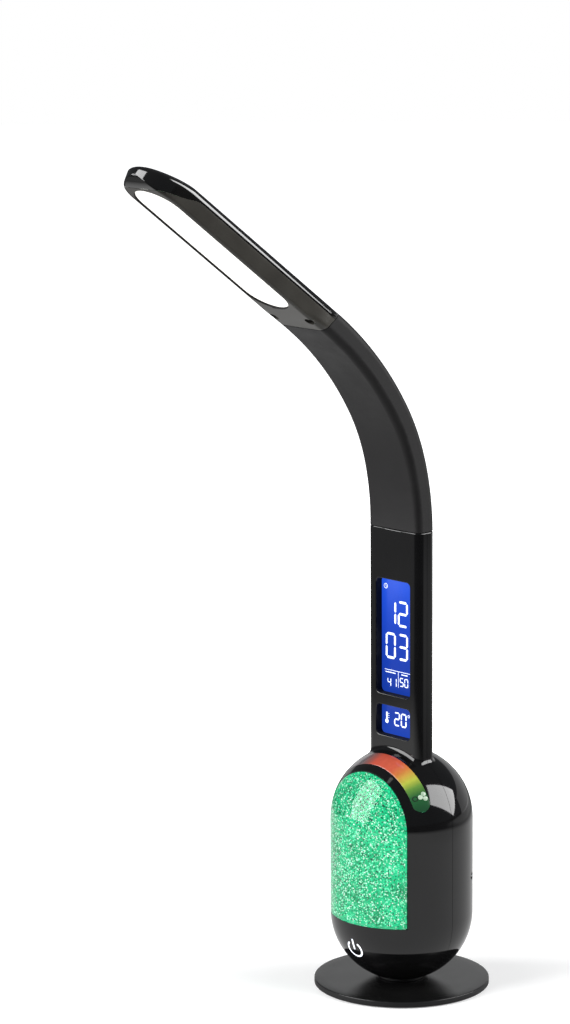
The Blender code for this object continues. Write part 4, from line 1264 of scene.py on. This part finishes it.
def build_head():
    place = head_place()
    upper = shade(head_form())
    smooth = surface_like(upper)
    cut(upper, head_form(HEAD_WALL))
    lower = upper.copy()
    lower.data = upper.data.copy()
    bpy.context.scene.collection.objects.link(lower)
    cut(upper, split_cutter(0.1, -60))
    cut(lower, split_cutter(-0.1, 60))
    for x, a in HEAD_SCREWS:
        join(lower, rod("boss", (x, a, -7.4), (x, a, HEAD_SPLIT - 0.1), 3.8))
        cut(lower, rod("cutter", (x, a, -12), (x, a, -4.2), 3.3, sides=40))
    cut(lower, slab("cutter", stadium(DIFFUSER_HALF_WIDTH, *DIFFUSER), -12, -5.5, "XY"))
    for made, name, node, look in ((upper, "head_top_shell", "head_top_cover", HEAD_GLOSS),
                                   (lower, "head_lower_shell", "head_lower_frame", SATIN)):
        made.name = made.data.name = name
        shade(paint(made, look), 35)
        if made == lower:
            make_matt(made, in_diffuser_opening)
        true_normals(made, smooth, 0.02, 0.8)
        settle(turn_piece(made, place), "head", "gloss_black_plastic", node)

    # the diffuser's face is crowned a little and its rim rounded
    rings = []
    for shrink, lift in LENS_PROFILE:
        outline = stadium(DIFFUSER_HALF_WIDTH - shrink, DIFFUSER[0] + shrink, DIFFUSER[1] - shrink)
        rings.append([(u, a, LENS_LOW - lift) for u, a in outline])
    lens = loft("diffuser_lens", rings, OPAL)
    lens.data.transform(place)
    settle(shade(lens, 40), "head", "opal_diffuser", "head_diffuser")

    for label, (x, a) in zip(("left", "right"), HEAD_SCREWS):
        head = rod("head_screw_cap_" + label, (x, a, -6.0), (x, a, -4.4), 2.1, STEEL, 40, 0.35)
        cross_cut(head, (1.1, 0.25), (-6.3, -5.3), "XY", (x, a, 0), 20)
        head.data.transform(place)
        settle(shade(head, 35), "head", "steel", "head_screw_" + label)


# ---- rear details

def build_rear():
    for name, (x, z, seat, _, radius) in SHELL_SCREWS.items():
        head = rod(name + "_cap", (x, seat + 0.3, z), (x, seat + 1.9, z), radius, STEEL, 40, 0.3)
        cross_cut(head, (radius * 0.55, 0.22), (seat + 1.1, seat + 2.2), "XZ", (x, 0, z), 15)
        settle(shade(head, 35), "stand", "steel", name)

    top = COLUMN_HALF_DEPTH + 0.8

    def place(u, v, lift):
        return u, top - 0.04 + lift, v

    for label, z in BUTTONS.items():
        key = rod("rear_key_" + label, (0, 4.75, z), (0, top, z), BUTTON_RADIUS, BUTTON, 64, 0.45)
        line = circle(0, z, 1.1)
        if label != "mode":
            rise = 0.6 if label == "up" else -0.6
            tip = 0.7 if label == "up" else -0.7
            line = [(-1.3, z - rise), (0, z + tip), (1.3, z - rise)]
        # painted light: the marks take the lit digit material, so their white print glows
        mark = stroke("mark", place, line, 0.4, DIGITS, height=0.04, closed=label == "mode")
        merge("rear_key_" + label, [shade(key, 35), mark])
        settle(key, "button_" + label, "button_plastic", "button_" + label)


# ---- stage, lights and camera

# pools of light on the floor, as the lamp sees it: x, y, brightness, full out to, gone by (metres)
FLOOR_POOLS = ((-0.09, -0.085, 0.82, 0.52, 0.76), (-1.05, -0.98, 0.26, 0.5, 0.95),
               (0.34, 1.2, 0.45, 0.55, 0.95))
FLOOR_RADIUS = 6000.0


def build_floor():
    """White paper to the camera; to the lamp, pools of light that fall off into the dark."""
    points = [(0.0, 0.0, 0.0)]
    rings, sides = 24, 96
    for ring in range(1, rings + 1):
        radius = FLOOR_RADIUS * (ring / rings) ** 1.6
        points += [(x, y, 0.0) for x, y in circle(0, 0, radius, sides)]
    faces = [(0, 1 + i, 1 + (i + 1) % sides) for i in range(sides)]
    floor = raw("floor", points, faces + grid(rings, sides, 1, around=True))
    look = Look("floor_paper", Roughness=0.9)
    look.done(look.between(look.noise(8.0), (0.80, 0.80, 0.80, 1), (0.82, 0.82, 0.82, 1)))
    pools = 0.05
    for x, y, bright, start, end in FLOOR_POOLS:
        away = look.node("VectorMath", {0: look.place, 1: (x, y, 0.0)}, operation="DISTANCE")
        pools = look.math("MAXIMUM", pools, look.spread(away.outputs["Value"], bright, 0.0, start, end))
    haze = look.spread(look.length(look.place), 0.3, 1.0, 0.08, 0.45)
    dark, extra = [look.node("Emission", {"Color": (1, 1, 1, 1), "Strength": glow}).outputs[0]
                   for glow in (pools, haze)]
    paper = look.node("AddShader", {0: look.shader.outputs[0], 1: extra}).outputs[0]
    seen = look.node("LightPath").outputs["Is Camera Ray"]
    choice = look.node("MixShader", {0: seen, 1: dark, 2: paper}).outputs[0]
    look.tree.links.new(choice, look.tree.nodes["Material Output"].inputs["Surface"])
    floor.data.materials.append(look.material)


def build_world():
    """White behind the lamp, and dim all round for what it reflects."""
    world = bpy.data.worlds.new("studio")
    bpy.context.scene.world = world
    world.use_nodes = True
    tree = world.node_tree
    white = tree.nodes["Background"]
    dark = tree.nodes.new("ShaderNodeBackground")
    for node, colour, strength in ((white, (1, 1, 1, 1), 1.0), (dark, (0.9, 0.95, 1.0, 1), 0.105)):
        node.inputs["Color"].default_value = colour
        node.inputs["Strength"].default_value = strength
    seen = tree.nodes.new("ShaderNodeLightPath")
    choice = tree.nodes.new("ShaderNodeMixShader")
    for source, target in ((seen.outputs["Is Camera Ray"], choice.inputs[0]),
                           (dark.outputs[0], choice.inputs[1]), (white.outputs[0], choice.inputs[2]),
                           (choice.outputs[0], tree.nodes["World Output"].inputs["Surface"])):
        tree.links.new(source, target)


def softbox(name, azimuth, elevation, distance, width, height, glow, roll=0.0):
    """A soft rectangular light of even brightness, aimed at the globe; roll turns it as the lamp sees it."""
    light = bpy.data.lights.new(name, "AREA")
    light.shape = "RECTANGLE"
    light.size = width
    light.size_y = height
    light.energy = glow * pi * width * height
    made = bpy.data.objects.new(name, light)
    bpy.context.scene.collection.objects.link(made)
    a, e = radians(azimuth), radians(elevation)
    way = Vector((sin(a) * cos(e), -cos(a) * cos(e), sin(e)))
    right = way.cross(Vector((0, 0, 1))).normalized()
    long_side = right * cos(radians(roll)) + right.cross(way) * sin(radians(roll))
    turn = Matrix((long_side, way.cross(long_side), way)).transposed().to_4x4()
    made.matrix_world = Matrix.Translation(Vector((0, 0, 0.12)) + way * distance) @ turn
    made.visible_camera = False


def build_camera():
    azimuth, elevation, roll = radians(46.7629), radians(11.0332), radians(-0.34712)
    distance, shift = 2.5390405, -0.0750037
    back = Vector((sin(azimuth) * cos(elevation), -cos(azimuth) * cos(elevation), sin(elevation)))
    right = Vector((cos(azimuth), sin(azimuth), 0))
    up = back.cross(right)
    x = right * cos(roll) + up * sin(roll)
    y = -right * sin(roll) + up * cos(roll)
    data = bpy.data.cameras.new("camera")
    data.sensor_width = 36.0
    data.lens = 138.586
    data.clip_start = 0.1
    data.clip_end = 60.0
    camera = bpy.data.objects.new("camera", data)
    bpy.context.scene.collection.objects.link(camera)
    target = Vector((0, 0, 0.315912)) + right * shift
    turn = Matrix((x, y, back)).transposed().to_4x4()
    camera.matrix_world = Matrix.Translation(target + back * distance) @ turn
    bpy.context.scene.camera = camera


def paint_nodes():
    """Every CAD part that stays in view, inside or out, gets its own procedural material."""
    for name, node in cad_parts.items():
        paint(node, next(look for starts, look in NODE_LOOKS if name.startswith(tuple(starts.split(" ")))))


build_camera()
build_floor()
build_world()
softbox("window_softbox", -28, 26, 4.0, 2.75, 4.3, 7.4)
softbox("shoulder_softbox", 129.5, 27, 4.0, 3.5, 2.3, 8.5, roll=40)
softbox("backdrop", 207, 7, 1.05, 2.5, 0.46, 0.5)
paint_nodes()
build_base()
build_housing()
build_window()
build_slider()
build_slider_icon()
build_power_mark()
build_panels()
build_display_marks()
build_sleeve()
build_head()
build_rear()

bpy.context.scene.view_settings.view_transform = "Standard"
